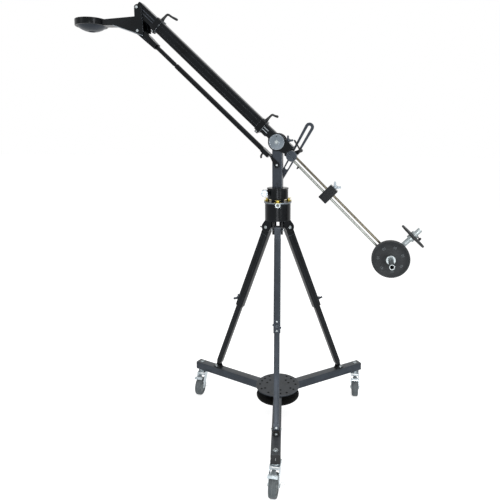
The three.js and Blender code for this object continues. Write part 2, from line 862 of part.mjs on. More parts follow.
// Pan stage: a split ring with two lugs that its knob pulls together on the post's spindle
function panStage() {
  const bore = holeFor(spindleRadius, roundSides);
  const rimLow = stageTop - stageRimHeight;
  const ring = revolve([
    [bore, stageBottom],
    [stageRadius, stageBottom],
    [stageRadius, rimLow - stageRimHeight / 2],
    [stageRimRadius, rimLow],
    [stageRimRadius, stageTop],
    [bore, stageTop],
  ], largeSides);
  const seat = barZ(seatRadius, [housingTop + gap, stageBottom + gap]);
  const seatBore = barZ(bore, [housingTop - overrun, stageBottom + overrun]);
  const middle = stageBottom + panScrewHeight;
  const tall = [middle - panLugHeight / 2, middle + panLugHeight / 2];
  const lugOut = panSlit / 2 + panLugThickness;
  const lugs = box([seatRadius, panLugReach], [-lugOut, lugOut], tall);
  const slit = box([bore - overrun, panLugReach + overrun], [-panSlit / 2, panSlit / 2],
    [stageBottom + panLugHeight / 4, stageTop + overrun]);
  const screw = barY(holeFor(panScrewRadius), [-lugOut - overrun, lugOut + overrun],
    panScrewReach, middle, boltSides);
  return cut(join(ring, cut(seat, seatBore), lugs), slit, screw);
}

function panKnob() {
  const lugOut = panSlit / 2 + panLugThickness;
  const face = lugOut + gap;
  const disc = barZ(panKnobRadius, [0, panKnobHeight]);
  const flutes = [];
  for (let i = 0; i < panKnobFlutes; i += 1) {
    const flute = barZ(panFluteRadius, [-overrun, panKnobHeight + overrun], panKnobRadius, 0, boltSides);
    flutes.push(flute.rotate([0, 0, (360 * i) / panKnobFlutes]));
  }
  const grip = face + panKnobNeck;
  return join(
    cut(disc, ...flutes).rotate([-90, 0, 0]).translate([0, grip, 0]),
    barY(panKnobNeckRadius, [face, grip + gap], 0, 0, boltSides),
    barY(panScrewRadius, [-lugOut, face + gap], 0, 0, boltSides),
  );
}

const stage = place(crane, [0, 0, 0], [0, 0, panAzimuth]);
addPiece(stage, "pan_stage", panStage(), satinBlack);
const panScrew = place(stage, [panScrewReach, 0, stageBottom + panScrewHeight]);
addPiece(panScrew, "pan_knob", panKnob(), silverKnob);

// Post, with its spindle below and the boom's axle through its round head
function centerPost() {
  const [depth, width] = [postDepth / 2, postWidth / 2];
  const low = stageTop + gap;
  const column = roundedRectangle(postDepth, postWidth, postCornerRadius);
  const barrel = [-width - overrun, width + overrun];
  const shaft = plateZ(column, [low, fulcrumHeight], cornerSteps);
  const head = barY(depth, [-width, width], 0, fulcrumHeight, largeSides);
  const barBoss = barY(barPivotRadius + boomWall, [width - gap, barPlane - gap],
    barPivotX, fulcrumHeight - barPivotDrop, boltSides);
  return cut(
    join(
      shaft,
      head,
      barZ(spindleRadius, [housingTop - housingRoof, low + gap]),
      barBoss,
      barY(barPivotRadius, [width, barPlane + barThickness + gap],
        barPivotX, fulcrumHeight - barPivotDrop, boltSides),
      barY(barPivotRadius + boomWall,
        [barPlane + barThickness + gap, barPlane + barThickness + linkHeadHeight],
        barPivotX, fulcrumHeight - barPivotDrop, hexSides),
    ),
    barY(holeFor(axlePinRadius, roundSides), barrel, 0, fulcrumHeight),
    barY(holeFor(rodPinRadius), barrel, 0, fulcrumHeight - linkSpacing, boltSides),
    barY(postHoleRadius, barrel, 0, postHoleHeight, boltSides),
  );
}

function fulcrumAxle() {
  const nearFace = cheekOuter + gap + dragDiscHeight;
  return join(
    barY(axlePinRadius, [-nearFace - gap, cheekOuter + gap]),
    barY(axleCapRadius, [-nearFace - gap - axleCapHeight, -nearFace - gap], 0, 0, hexSides),
    barY(axleCapRadius + boomWall, [cheekOuter + gap, cheekOuter + gap + axleCapHeight]),
  );
}

function dragDisc() {
  const bore = holeFor(axlePinRadius, roundSides);
  return revolve([
    [bore, 0],
    [dragDiscRadius, 0],
    [dragDiscRadius, dragDiscHeight - dragRimHeight],
    [dragDiscRadius - dragRimHeight, dragDiscHeight],
    [dragDiscRadius - dragRimWidth, dragDiscHeight],
    [dragDiscRadius - dragRimWidth - dragRimHeight, dragDiscHeight - dragRimHeight],
    [axleCapRadius + dragRimWidth, dragDiscHeight - dragRimHeight],
    [axleCapRadius + dragRimWidth, dragDiscHeight],
    [bore, dragDiscHeight],
  ], largeSides).rotate([90, 0, 0]).translate([0, -cheekOuter - gap, 0]);
}

addPiece(crane, "center_post", centerPost(), slateGrey);
const fulcrum = place(crane, [0, 0, fulcrumHeight]);
addPiece(fulcrum, "fulcrum_axle", fulcrumAxle(), zincPlate);
addPiece(fulcrum, "fulcrum_disc", dragDisc(), discGrey);

// Boom, about the fulcrum with the tail along +X and the camera end along -X
const boom = place(crane, [0, 0, fulcrumHeight], [0, boomElevation, 0]);

function boomTube(height, width, [x0, x1], corner = boomCornerRadius) {
  const outline = roundedRectangle(width, height, corner);
  outline.holes.push(
    roundedRectangle(width - 2 * boomWall, height - 2 * boomWall, corner - boomWall / 2));
  return plateX(outline, [x0, x1]).translate([0, 0, tubeLift]);
}

// The rear tube has two flutes on each side, a slanted end that clears the post, and two cheeks
function boomRearFrame() {
  const [high, wide] = [innerTubeHeight / 2, innerTubeWidth / 2];
  const tube = boomTube(innerTubeHeight, innerTubeWidth, [-rearTubeEnd, -rearTubeHighStart]);
  const clear = polygon([
    [-rearTubeHighStart, tubeLift + high + overrun],
    [overrun, tubeLift + high + overrun],
    [overrun, tubeLift - high - overrun],
    [-rearTubeLowStart, tubeLift - high - overrun],
  ]);
  const tools = [plateY(clear, [-wide - overrun, wide + overrun])];
  for (const side of [-wide, wide]) {
    for (const level of [-fluteSpacing / 2, fluteSpacing / 2]) {
      tools.push(box([-rearTubeEnd - overrun, overrun], [side - fluteDepth, side + fluteDepth],
        [tubeLift + level - fluteWidth / 2, tubeLift + level + fluteWidth / 2]));
    }
  }
  const cheek = new THREE.Shape();
  cheek.moveTo(-cheekReach, tubeLift + high - boomCornerRadius);
  cheek.lineTo(-cheekReach, tubeLift - high + boomCornerRadius);
  cheek.lineTo(-cheekRadius, tubeLift - high + boomCornerRadius);
  cheek.absarc(0, 0, cheekRadius, degToRad(cheekLowFrom), degToRad(cheekLowTo));
  cheek.lineTo(cheekTail, -cheekTailLow);
  cheek.lineTo(cheekTail, cheekTailHigh);
  cheek.absarc(0, 0, cheekRadius, degToRad(cheekHighFrom), degToRad(cheekHighTo));
  const [near, far] = [cheekInner, cheekOuter];
  const body = join(
    cut(tube, ...tools),
    plateY(cheek, [near, far]),
    plateY(cheek, [-far, -near]),
  );
  return cut(body, barY(holeFor(axlePinRadius, roundSides), [-far - overrun, far + overrun]));
}

// A split clamp collar with a lug below it and a lever boss on top
function collar(x0) {
  const x1 = x0 + collarLength;
  const height = outerTubeHeight + 2 * collarGrow;
  const outline = roundedRectangle(outerTubeWidth + 2 * collarGrow, height,
    boomCornerRadius + collarGrow);
  outline.holes.push(roundedRectangle(outerTubeWidth - boomWall, outerTubeHeight - boomWall,
    boomCornerRadius - boomWall / 2));
  const middle = (x0 + x1) / 2;
  const half = height / 2;
  const lug = box([middle - lugLength / 2, middle + lugLength / 2], [-lugWidth / 2, lugWidth / 2],
    [-half - lugDrop, -half + boomWall]);
  const boss = barZ(leverBossRadius, [half - boomWall, half + leverBossHeight], middle, 0, boltSides);
  return join(plateX(outline, [x0, x1]), lug, boss).translate([0, 0, tubeLift]);
}

function boomOuterTube() {
  const rear = -outerTubeStart - collarLength;
  const front = -outerTubeEnd;
  const drop = outerTubeHeight / 2 + collarGrow + lugDrop;
  const slit = [tubeLift - drop - overrun, tubeLift - outerTubeHeight / 2 + boomWall + gap];
  const half = slideGap + gap;
  return cut(
    join(
      boomTube(outerTubeHeight, outerTubeWidth, [-outerTubeEnd, -outerTubeStart]),
      collar(rear),
      collar(front),
    ),
    box([rear - collarLength, -outerTubeStart + overrun], [-half, half], slit),
    box([front - overrun, front + 2 * collarLength], [-half, half], slit),
  );
}

// The front tube ends in a round nose that carries the camera bracket's upper bolt
function boomFrontTube() {
  const [high, wide] = [innerTubeHeight / 2, innerTubeWidth / 2];
  const tip = -boomReach - noseReach;
  const nose = polygon([
    [-frontHeadStart, tubeLift - high],
    [-frontHeadStart, tubeLift + high],
    [tip + noseCorner, tubeLift + high],
    [tip, tubeLift + high - noseCorner],
    [tip, -noseLowReach],
    [-boomReach + noseHeel, tubeLift - high],
  ]);
  const hollowEnd = -frontHeadStart - collarLength;
  const bolt = [-bracketOuter - linkHeadHeight, bracketOuter + linkHeadHeight];
  const stub = plateX(roundedRectangle(innerTubeWidth, innerTubeHeight, boomCornerRadius),
    [-frontHeadStart - boomWall, -frontTubeStart]).translate([0, 0, tubeLift]);
  const hollow = plateX(
    roundedRectangle(innerTubeWidth - 2 * boomWall, innerTubeHeight - 2 * boomWall,
      boomCornerRadius - boomWall / 2),
    [hollowEnd, -frontTubeStart + overrun]).translate([0, 0, tubeLift]);
  return join(
    cut(join(stub, plateY(nose, [-wide, wide])), hollow),
    barY(linkPinRadius, bolt, -boomReach, 0, boltSides),
    barY(linkHeadRadius, [-bracketOuter - linkHeadHeight, -bracketOuter - gap],
      -boomReach, 0, boltSides),
    barY(linkHeadRadius, [bracketOuter + gap, bracketOuter + linkHeadHeight],
      -boomReach, 0, boltSides),
  );
}

addPiece(boom, "boom_rear_frame", boomRearFrame(), satinBlack);
addPiece(boom, "boom_outer_tube", boomOuterTube(), satinBlack);
addPiece(boom, "boom_front_tube", boomFrontTube(), satinBlack);

const leverSeat = tubeLift + outerTubeHeight / 2 + collarGrow + leverBossHeight;
for (const [name, along, reach] of [
  ["rear_clamp_lever", outerTubeStart + collarLength / 2, rearLeverReach],
  ["front_clamp_lever", outerTubeEnd - collarLength / 2, frontLeverReach],
]) {
  const seat = place(boom, [-along, 0, leverSeat]);
  addPiece(seat, name, clampLever(reach, leverRise), blackPlastic);
}

// Counterweight rods, drooping a little from the boom's line
const rods = place(boom, [weightRodLevel, 0, -weightRodDrop], [0, weightRodDroop, 0]);
const rodStart = weightRodStart - weightRodLevel;
const rodEnd = weightRodEnd - weightRodLevel;
const rodLevels = { upper: weightRodOffset, lower: -weightRodOffset };

// Holes along the rods, to cut from a piece drawn in the boom's own coordinates
function rodHoles([x0, x1]) {
  const holes = Object.values(rodLevels).map((level) =>
    barX(holeFor(weightRodRadius, roundSides), [x0 - weightRodLevel, x1 - weightRodLevel], 0, level));
  return join(...holes)
    .rotate([0, weightRodDroop, 0])
    .translate([weightRodLevel, 0, -weightRodDrop]);
}

function tailBlock() {
  const side = polygon([
    [tailFront, tailUnder],
    [tailStep, tailUnder],
    [tailStep, tailStepLow],
    [tailLowFront, -tailLow],
    [tailBack, -tailLow],
    [tailBack, tailTop],
    [tailFront, tailTop],
  ]);
  const half = cheekInner - gap;
  return cut(
    plateY(side, [-half, half]),
    rodHoles([weightRodStart - gap, tailBack + overrun]),
    barZ(holeFor(wingStemRadius * bigWingShare), [tailUnder - overrun, tailTop + overrun],
      tailKnobAlong, 0, boltSides),
  );
}

addPiece(boom, "tail_block", tailBlock(), satinBlack);
const tailKnobSeat = place(boom, [tailKnobAlong, 0, tailTop]);
addPiece(tailKnobSeat, "tail_knob", wingKnob(bigWingShare), silverKnob);
for (const [name, level] of Object.entries(rodLevels)) {
  addPiece(rods, `counterweight_rod_${name}`,
    barX(weightRodRadius, [rodStart, rodEnd], 0, level), polishedSteel);
}

// The trim block slides on the rods
const trimMiddle = trimStart + trimLength / 2 - weightRodLevel;
function trimBlock() {
  const profile = roundedRectangle(trimLength, trimTop + trimLow, trimCornerRadius);
  const block = plateY(profile, [-trimThickness / 2, trimThickness / 2], cornerSteps)
    .translate([trimMiddle, 0, (trimTop - trimLow) / 2]);
  const ends = [trimMiddle - trimLength, trimMiddle + trimLength];
  const holes = Object.values(rodLevels).map((level) =>
    barX(holeFor(weightRodRadius, roundSides), ends, 0, level));
  const screw = barZ(holeFor(wingStemRadius * bigWingShare),
    [weightRodOffset, trimTop + overrun], trimMiddle, 0, boltSides);
  return cut(block, ...holes, screw);
}

addPiece(rods, "trim_block", trimBlock(), satinBlack);
const trimSeat = place(rods, [trimMiddle, 0, trimTop]);
addPiece(trimSeat, "trim_knob", wingKnob(bigWingShare), silverKnob);

// The end block joins the rods' ends and carries a hollow cross bar and an upright bar
const endMiddle = rodEnd;
function weightBarBlock() {
  const profile = roundedRectangle(endBlockLength, endBlockHeight, endBlockCorner);
  const half = endBlockWidth / 2;
  const block = plateY(profile, [-half, half], cornerSteps).translate([endMiddle, 0, 0]);
  const pocket = [endMiddle - endBlockLength, rodEnd + gap];
  const holes = Object.values(rodLevels).map((level) =>
    barX(holeFor(weightRodRadius, roundSides), pocket, 0, level));
  return cut(
    join(
      cut(block, ...holes),
      barY(crossBarRadius, [-crossBarReach, -half + gap], endMiddle, 0),
      barZ(crossBarRadius, [endBlockHeight / 2 - gap, uprightReach], endMiddle, 0),
    ),
    barY(crossBarBore, [-crossBarReach - overrun, -half], endMiddle, 0, boltSides),
    barZ(crossBarBore, [endBlockHeight / 2, uprightReach + overrun], endMiddle, 0, boltSides),
  );
}

// A cast plate, dished between its hub and its rim on both faces
function castPlate(radius, thickness, hubRadius, rimWidth, dish) {
  const edge = radius - rimWidth;
  const chamfer = dish / 2;
  return revolve([
    [plateBore, 0],
    [hubRadius, 0],
    [hubRadius + dish, dish],
    [edge - dish, dish],
    [edge, 0],
    [radius - chamfer, 0],
    [radius, chamfer],
    [radius, thickness - chamfer],
    [radius - chamfer, thickness],
    [edge, thickness],
    [edge - dish, thickness - dish],
    [hubRadius + dish, thickness - dish],
    [hubRadius, thickness],
    [plateBore, thickness],
  ], largeSides);
}

addPiece(rods, "weight_bar_block", weightBarBlock(), polishedSteel);
const largeSeat = place(rods, [endMiddle, -largePlateAt, 0], [90, 0, 0]);
addPiece(largeSeat, "large_plate",
  castPlate(largePlateRadius, largePlateThickness, plateHubRadius, plateRimWidth, plateDish),
  castIron);
const smallSeat = place(rods, [endMiddle, 0, smallPlateAt]);
addPiece(smallSeat, "small_plate",
  castPlate(smallPlateRadius, smallPlateThickness, smallHubRadius, smallRimWidth, smallDish),
  castIron);

// Elevation lock: a block on the rods, a knob in front of it, and a slotted bar behind it
function lockClamp() {
  const [x0, x1] = [lockAlong - lockBlockLength / 2, lockAlong + lockBlockLength / 2];
  const far = barPlane - gap;
  const knobScrew = barY(holeFor(lockScrewRadius), [-lockBlockNear - overrun, -weightRodRadius],
    lockAlong, 0, boltSides);
  const tower = new THREE.Shape();
  tower.moveTo(x1, 0);
  tower.lineTo(x1, lockHubUp);
  tower.absarc(lockHubAlong, lockHubUp, lockHubRadius, 0, Math.PI);
  tower.lineTo(x0, lockBlockTop / 2);
  return cut(
    join(
      box([x0, x1], [-lockBlockNear, far], [-lockBlockLow, lockBlockTop]),
      plateY(tower, [far - lockHubHeight, far], finSteps),
    ),
    rodHoles([x0 - overrun, x1 + overrun]),
    knobScrew,
  );
}

function lockKnob() {
  const face = lockBlockNear + gap;
  const groove = box([-lockKnobRadius - overrun, lockKnobRadius + overrun],
    [-face - lockKnobHeight - overrun, -face - lockKnobHeight + lockKnobGroove / 2],
    [-lockKnobGroove / 2, lockKnobGroove / 2]);
  const knob = revolve([
    [0, 0],
    [lockKnobNeck, 0],
    [lockKnobRadius - lockKnobGroove, lockKnobGroove],
    [lockKnobRadius, lockKnobGroove],
    [lockKnobRadius, lockKnobHeight - lockKnobGroove / 2],
    [lockKnobRadius - lockKnobGroove / 2, lockKnobHeight],
    [0, lockKnobHeight],
  ], largeSides).rotate([90, 0, 0]).translate([0, -face, 0]);
  const screw = [-face - gap, -weightRodRadius - sideGap];
  return cut(knob, groove).add(barY(lockScrewRadius, screw, 0, 0, boltSides));
}

function lockLever() {
  const near = barPlane - gap - lockHubHeight - gap;
  const angle = degToRad(lockLeverAngle);
  const [x, z] = [lockLeverReach * Math.cos(angle), lockLeverReach * Math.sin(angle)];
  const level = near - lockHubHeight / 2;
  const route = [
    [0, level, 0],
    [x / 2, level - lockLeverRadius, z / 2],
    [x, level - 2 * lockLeverRadius, z],
  ];
  return join(
    barY(lockHubRadius - sideGap, [near - lockHubHeight, near], 0, 0, boltSides),
    bentBar(route, lockLeverRadius, lockLeverRadius * lockTipShare),
  );
}

addPiece(boom, "lock_clamp", lockClamp(), satinBlack);
addPiece(place(boom, [lockAlong, 0, 0]), "lock_knob", lockKnob(), discGrey);
addPiece(place(boom, [lockHubAlong, 0, lockHubUp]), "lock_lever", lockLever(), blackPlastic);

// The slotted bar, drawn along +X from its pivot on the post
function lockBar() {
  const bar = taperedLink([0, 0], barLowRadius, [barLength, 0], barTopRadius);
  const half = barSlotWidth / 2;
  const slot = taperedLink([barSlotStart, 0], half, [barSlotEnd, 0], half);
  const through = [barPlane - overrun, barPlane + barThickness + overrun];
  return cut(
    plateY(bar, [barPlane, barPlane + barThickness]),
    plateY(slot, through, finSteps),
    barY(holeFor(barPivotRadius), through, 0, 0, boltSides),
  );
}

const tilt = degToRad(boomElevation);
const lockX = lockAlong * Math.cos(tilt) - barPivotX;
const lockZ = barPivotDrop - lockAlong * Math.sin(tilt);
const barTurn = -radToDeg(Math.atan2(lockZ, lockX));
const barSeat = place(crane, [barPivotX, 0, fulcrumHeight - barPivotDrop], [0, barTurn, 0]);
addPiece(barSeat, "lock_bar", lockBar(), slateGrey);

// Camera bracket, level, about the boom's front bolt
const headX = -boomReach * Math.cos(tilt);
const headZ = fulcrumHeight + boomReach * Math.sin(tilt);
const head = place(crane, [headX, 0, headZ]);

function cameraBracket() {
  const side = new THREE.Shape();
  side.moveTo(bracketBack, -armRootLow);
  side.lineTo(bracketBack, -bracketShoulder);
  side.lineTo(bracketTopRadius - bracketShoulder, bracketTopRadius);
  side.absarc(0, 0, bracketTopRadius, Math.PI / 2, Math.PI);
  side.lineTo(-bracketTopRadius, -armRootTop);
  side.lineTo(-bowlReach, -armTipTop);
  side.lineTo(-bowlReach, -armTipLow);
  side.lineTo(-armBend, -armBendLow);
  const topWeb = polygon([
    [-armWebStart, -armRootTop - armWebThickness / 2],
    [-bowlReach, -armTipTop],
    [-bowlReach, -armTipTop - armWebThickness],
    [-armWebStart, -armRootTop - armWebThickness - armWebThickness / 2],
  ]);
  const lowSlope = (armRootLow - armBendLow) / (armBend + bracketBack);
  const webLow = armBendLow + (armBend - armWebStart) * lowSlope;
  const lowWeb = polygon([
    [-armWebStart, -webLow],
    [-armWebStart, -webLow + armWebThickness],
    [-armBend, -armBendLow + armWebThickness],
    [-bowlReach, -armTipLow + armWebThickness],
    [-bowlReach, -armTipLow],
    [-armBend, -armBendLow],
  ]);
  const through = [-bracketOuter - overrun, bracketOuter + overrun];
  const bowlRoom = barZ(bowlRadius + gap, [-armRootLow, 0], -bowlReach, 0, largeSides);
  return cut(
    join(
      plateY(side, [bracketInner, bracketOuter]),
      plateY(side, [-bracketOuter, -bracketInner]),
      plateY(topWeb, [-bracketOuter, bracketOuter]),
      plateY(lowWeb, [-bracketOuter, bracketOuter]),
      barY(linkHeadRadius, [bracketOuter - gap, bracketOuter + linkHeadHeight],
        0, -linkSpacing, boltSides),
      barY(linkHeadRadius, [-bracketOuter - linkHeadHeight, -bracketOuter + gap],
        0, -linkSpacing, boltSides),
    ),
    barY(holeFor(linkPinRadius), through, 0, 0, boltSides),
    bowlRoom,
  );
}

function bowlRing() {
  const top = -armTipTop + bowlLift;
  return revolve([
    [bowlBore, top],
    [bowlRadius, top],
    [bowlRadius, top - bowlRimHeight],
    [bowlLowRadius, top - bowlDepth],
    [bowlLowBore, top - bowlDepth],
    [bowlBore - boomWall, top - bowlRimHeight],
  ], largeSides).translate([-bowlReach, 0, 0]);
}

addPiece(head, "camera_bracket", cameraBracket(), satinBlack);
addPiece(head, "bowl_ring", bowlRing(), slateGrey);

// Control rod below the boom, about its pivot on the post, parallel to the boom
const rod = place(crane, [0, 0, fulcrumHeight - linkSpacing], [0, boomElevation, 0]);

function squareBar(size, [x0, x1], corner = rodCornerRadius) {
  return plateX(roundedRectangle(size, size, corner), [x0, x1]).translate([0, 0, tubeLift]);
}

function controlRodRear() {
  const half = rodBlockHeight / 2;
  const blockHalf = rodHeight / 2;
  const fork = new THREE.Shape();
  fork.moveTo(-rodForkEnd, tubeLift - blockHalf);
  fork.absarc(0, 0, half, -Math.PI / 2, Math.PI / 2);
  fork.lineTo(-rodForkEnd, tubeLift + blockHalf);
  const pinEnd = rodForkOuter + rodPinHeadHeight;
  return join(
    plateY(fork, [rodForkInner, rodForkOuter]),
    plateY(fork, [-rodForkOuter, -rodForkInner]),
    box([-rodBlockEnd, -rodBlockStart], [-rodForkOuter, rodForkOuter],
      [tubeLift - blockHalf, tubeLift + blockHalf]),
    squareBar(rodCore, [-rearTubeEnd, -rodBlockStart]),
    barY(rodPinRadius, [-pinEnd, pinEnd], 0, 0, boltSides),
    barY(rodPinHead, [rodForkOuter - gap, pinEnd], 0, 0, boltSides),
    barY(rodPinHead, [-pinEnd, -rodForkOuter + gap], 0, 0, boltSides),
  );
}

function controlRodSleeve() {
  const outline = roundedRectangle(rodHeight, rodHeight, rodCornerRadius);
  outline.holes.push(roundedRectangle(rodBore, rodBore, rodCornerRadius / 2));
  return plateX(outline, [-rodSleeveEnd, -rodBlockEnd - gap]).translate([0, 0, tubeLift]);
}

function controlRodFront() {
  const half = rodBlockHeight / 2;
  const wide = rodTipWidth / 2;
  const start = rodSleeveEnd + gap;
  const tip = new THREE.Shape();
  tip.moveTo(-start - rodFrontBlock, tubeLift + half);
  tip.absarc(-boomReach, 0, half, Math.PI / 2, 1.5 * Math.PI);
  tip.lineTo(-start - rodFrontBlock, tubeLift - half);
  return cut(
    join(
      squareBar(rodCore, [-start - rodFrontBlock, -frontTubeStart]),
      squareBar(rodBlockHeight, [-start - rodFrontBlock - gap, -start]),
      plateY(tip, [-wide, wide]),
    ),
    barY(holeFor(linkPinRadius), [-wide - overrun, wide + overrun], -boomReach, 0, boltSides),
  );
}

addPiece(rod, "control_rod_rear", controlRodRear(), satinBlack);
addPiece(rod, "control_rod_sleeve", controlRodSleeve(), slateGrey);
addPiece(rod, "control_rod_front", controlRodFront(), satinBlack);
const rodLeverSeat = place(rod, [-rodLeverBack, 0, tubeLift - rodHeight / 2], [180, 0, 0]);
addPiece(rodLeverSeat, "rod_clamp_lever",
  clampLever(rodLeverReach, rodLeverRise, smallLeverShare), blackPlastic);

export default crane;
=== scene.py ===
# %% [markdown]
# # A camera jib crane, dressed for a studio picture
# The crane stands on a three-arm dolly with casters. A tripod carries a levelling and panning
# head, and a post on that carries a long telescopic boom with a camera bowl at one end and iron
# plates at the other. The engineering model comes in first, as a fixed frame in metres.
# Everything made here is set on that frame, so nothing has to be fitted by eye.

# %% Load the frame
import math

import bmesh
import bpy
from mathutils import Matrix, Vector


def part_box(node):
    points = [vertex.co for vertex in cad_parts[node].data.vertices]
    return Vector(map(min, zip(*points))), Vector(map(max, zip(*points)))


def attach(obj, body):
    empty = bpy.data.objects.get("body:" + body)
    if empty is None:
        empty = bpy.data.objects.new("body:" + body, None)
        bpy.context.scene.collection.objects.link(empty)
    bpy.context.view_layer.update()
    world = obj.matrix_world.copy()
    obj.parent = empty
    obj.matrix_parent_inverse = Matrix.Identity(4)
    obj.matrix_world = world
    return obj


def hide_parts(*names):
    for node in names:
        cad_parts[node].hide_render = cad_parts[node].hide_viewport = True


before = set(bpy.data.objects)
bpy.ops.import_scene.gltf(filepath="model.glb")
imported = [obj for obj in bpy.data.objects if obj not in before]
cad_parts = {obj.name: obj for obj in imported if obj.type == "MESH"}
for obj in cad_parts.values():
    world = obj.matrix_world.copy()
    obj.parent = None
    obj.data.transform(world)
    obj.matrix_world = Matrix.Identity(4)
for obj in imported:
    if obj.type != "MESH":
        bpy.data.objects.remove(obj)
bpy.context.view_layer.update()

# %% [markdown]
# ## The crane's places
# Each part of a machine is easiest to draw about its own pivot: a wheel about its axle, a boom
# about its fulcrum. So this cell writes down the crane's main sizes in millimetres and makes one
# coordinate frame for each assembly. A piece is then drawn in its own frame and lands in place.

# %% Sizes and coordinate frames
MM = 0.001
ARM_AZIMUTH = {"front": -80, "right": 40, "left": 160}
CASTER_TRAIL = {"front": -89, "right": -85, "left": -91}
ARM_TOP, ARM_BOTTOM, ARM_WIDTH, ARM_END = -6.3, -50.3, 44, 553
ARM_MIDDLE = (ARM_TOP + ARM_BOTTOM) / 2
CASTER_RADIUS, FOOT_RADIUS, FOOT_RISE = 525, 403, 15
WHEEL_DROP, WHEEL_TRAIL, WHEEL_RADIUS = 87.4, 44, 50
LEG_TOP_RADIUS, LEG_TOP_HEIGHT, LEVEL_RADIUS = 57, 865, 62
CLAMP_DROP = 470
HOUSING_LOW, HOUSING_TOP, HOUSING_RADIUS = 907, 1002, 66.2
STAGE_LOW, STAGE_TOP, STAGE_RADIUS, STAGE_BORE = 1016, 1072, 53.3, 20.9
FULCRUM_HEIGHT, LINK_SPACING = 1303, 115
BOOM_ELEVATION, BOOM_REACH, TUBE_LIFT = 43.1, 990, 3.5
COLLARS, COLLAR_LENGTH = {"rear": -131, "front": -872}, 31
WEIGHT_END, BOWL_REACH = 646, 274
FLANKS = {"near": -1, "far": 1}


def place(parent, offset, *turns):
    """A frame set in another one: an offset in millimetres, then turns about named axes."""
    made = parent @ Matrix.Translation(Vector(offset) * MM)
    for axis, degrees in turns:
        made = made @ Matrix.Rotation(math.radians(degrees), 4, axis)
    return made


hub = Matrix.Identity(4)
leg_run = FOOT_RADIUS - LEG_TOP_RADIUS
leg_drop = LEG_TOP_HEIGHT - (ARM_TOP + FOOT_RISE)
LEG_SPAN = math.hypot(leg_run, leg_drop)
LEG_LEAN = math.degrees(math.atan2(leg_run, leg_drop))
arms, casters, legs = {}, {}, {}
for side, azimuth in ARM_AZIMUTH.items():
    arms[side] = place(hub, (0, 0, 0), ("Z", azimuth))
    casters[side] = place(arms[side], (CASTER_RADIUS, 0, ARM_BOTTOM),
                          ("Z", CASTER_TRAIL[side] - azimuth))
    legs[side] = place(arms[side], (LEG_TOP_RADIUS, 0, LEG_TOP_HEIGHT), ("Y", -LEG_LEAN))
pan_lugs = place(hub, (0, 0, 0), ("Z", 191))
fulcrum = place(hub, (0, 0, FULCRUM_HEIGHT))
boom = place(fulcrum, (0, 0, 0), ("Y", BOOM_ELEVATION))
weight_rods = place(boom, (154, 0, -4), ("Y", 1.6))
control_rod = place(hub, (0, 0, FULCRUM_HEIGHT - LINK_SPACING), ("Y", BOOM_ELEVATION))
camera_end = boom @ Vector((-BOOM_REACH * MM, 0, 0))
camera_head = Matrix.Translation(camera_end)
print("leg span %.1f mm, lean %.2f degrees" % (LEG_SPAN, LEG_LEAN))
print("camera end of the boom at", [round(v, 3) for v in camera_end])

# %% [markdown]
# ## The camera
# The picture was taken from a little above the tripod's head, looking slightly down. The view's
# axis passes right of the picture's middle and above it. A lens shift gives that framing without
# turning the camera any further.

# %% Camera
def new_object(name, data):
    """An object with that data, put into the scene."""
    made = bpy.data.objects.new(name, data)
    bpy.context.scene.collection.objects.link(made)
    return made


PICTURE = 500
FOCAL = 465
AXIS_X, AXIS_Y = 277.8, 200.3
CAMERA_SPOT, CAMERA_TURN, CAMERA_PITCH = (0.450, -2.315, 1.338), 11, -8
lens = bpy.data.cameras.new("view_camera")
lens.sensor_width = 36
lens.lens = FOCAL / PICTURE * lens.sensor_width
lens.shift_x = (PICTURE / 2 - AXIS_X) / PICTURE
lens.shift_y = (AXIS_Y - PICTURE / 2) / PICTURE
lens.clip_end = 100
view = new_object("view_camera", lens)
view.location = CAMERA_SPOT
view.rotation_euler = (math.radians(90 + CAMERA_PITCH), 0, math.radians(CAMERA_TURN))
bpy.context.scene.camera = view
print("lens %.2f mm, shift %.4f %.4f" % (lens.lens, lens.shift_x, lens.shift_y))

# %% [markdown]
# ## Building shaders in code
# A material is a graph of nodes. Short helpers keep the graphs readable: one adds a node and sets
# its inputs, others add a sum, a noise or a mix of two colours, one starts a group of nodes, and
# one turns a colour as seen on a screen into the linear light that a shader works in.

# %% Shader helpers
def ink(code):
    """A linear colour from a screen colour written as six hexadecimal digits."""
    channels = [int(code[i:i + 2], 16) / 255 for i in (0, 2, 4)]
    return [c / 12.92 if c <= 0.04045 else ((c + 0.055) / 1.055) ** 2.4 for c in channels] + [1]


def add(tree, kind, settings=None, **inputs):
    """A node of that kind. Inputs are values or sockets: With_Blank by name, i0 by number."""
    node = tree.nodes.new("ShaderNode" + kind)
    for name, value in (settings or {}).items():
        setattr(node, name, value)
    for name, value in inputs.items():
        key = int(name[1:]) if name[1:].isdigit() else name.replace("_", " ")
        socket = node.inputs[key]
        if isinstance(value, bpy.types.NodeSocket):
            tree.links.new(value, socket)
        else:
            socket.default_value = value
    return node


def math_node(tree, operation, first, second, clamp=False):
    """The output of one sum or other operation on two values."""
    node = add(tree, "Math", {"operation": operation, "use_clamp": clamp}, i0=first, i1=second)
    return node.outputs[0]


def noise(tree, where, scale, detail, rough=0.5):
    """The value of a soft noise at that many cells to the metre."""
    return add(tree, "TexNoise", Vector=where, Scale=scale, Detail=detail,
               Roughness=rough).outputs[0]


def mix_colour(tree, factor, first, second):
    """Two colours mixed by a factor. Each of the three may be a socket."""
    return add(tree, "Mix", {"data_type": "RGBA"}, i0=factor, i6=first, i7=second).outputs[2]


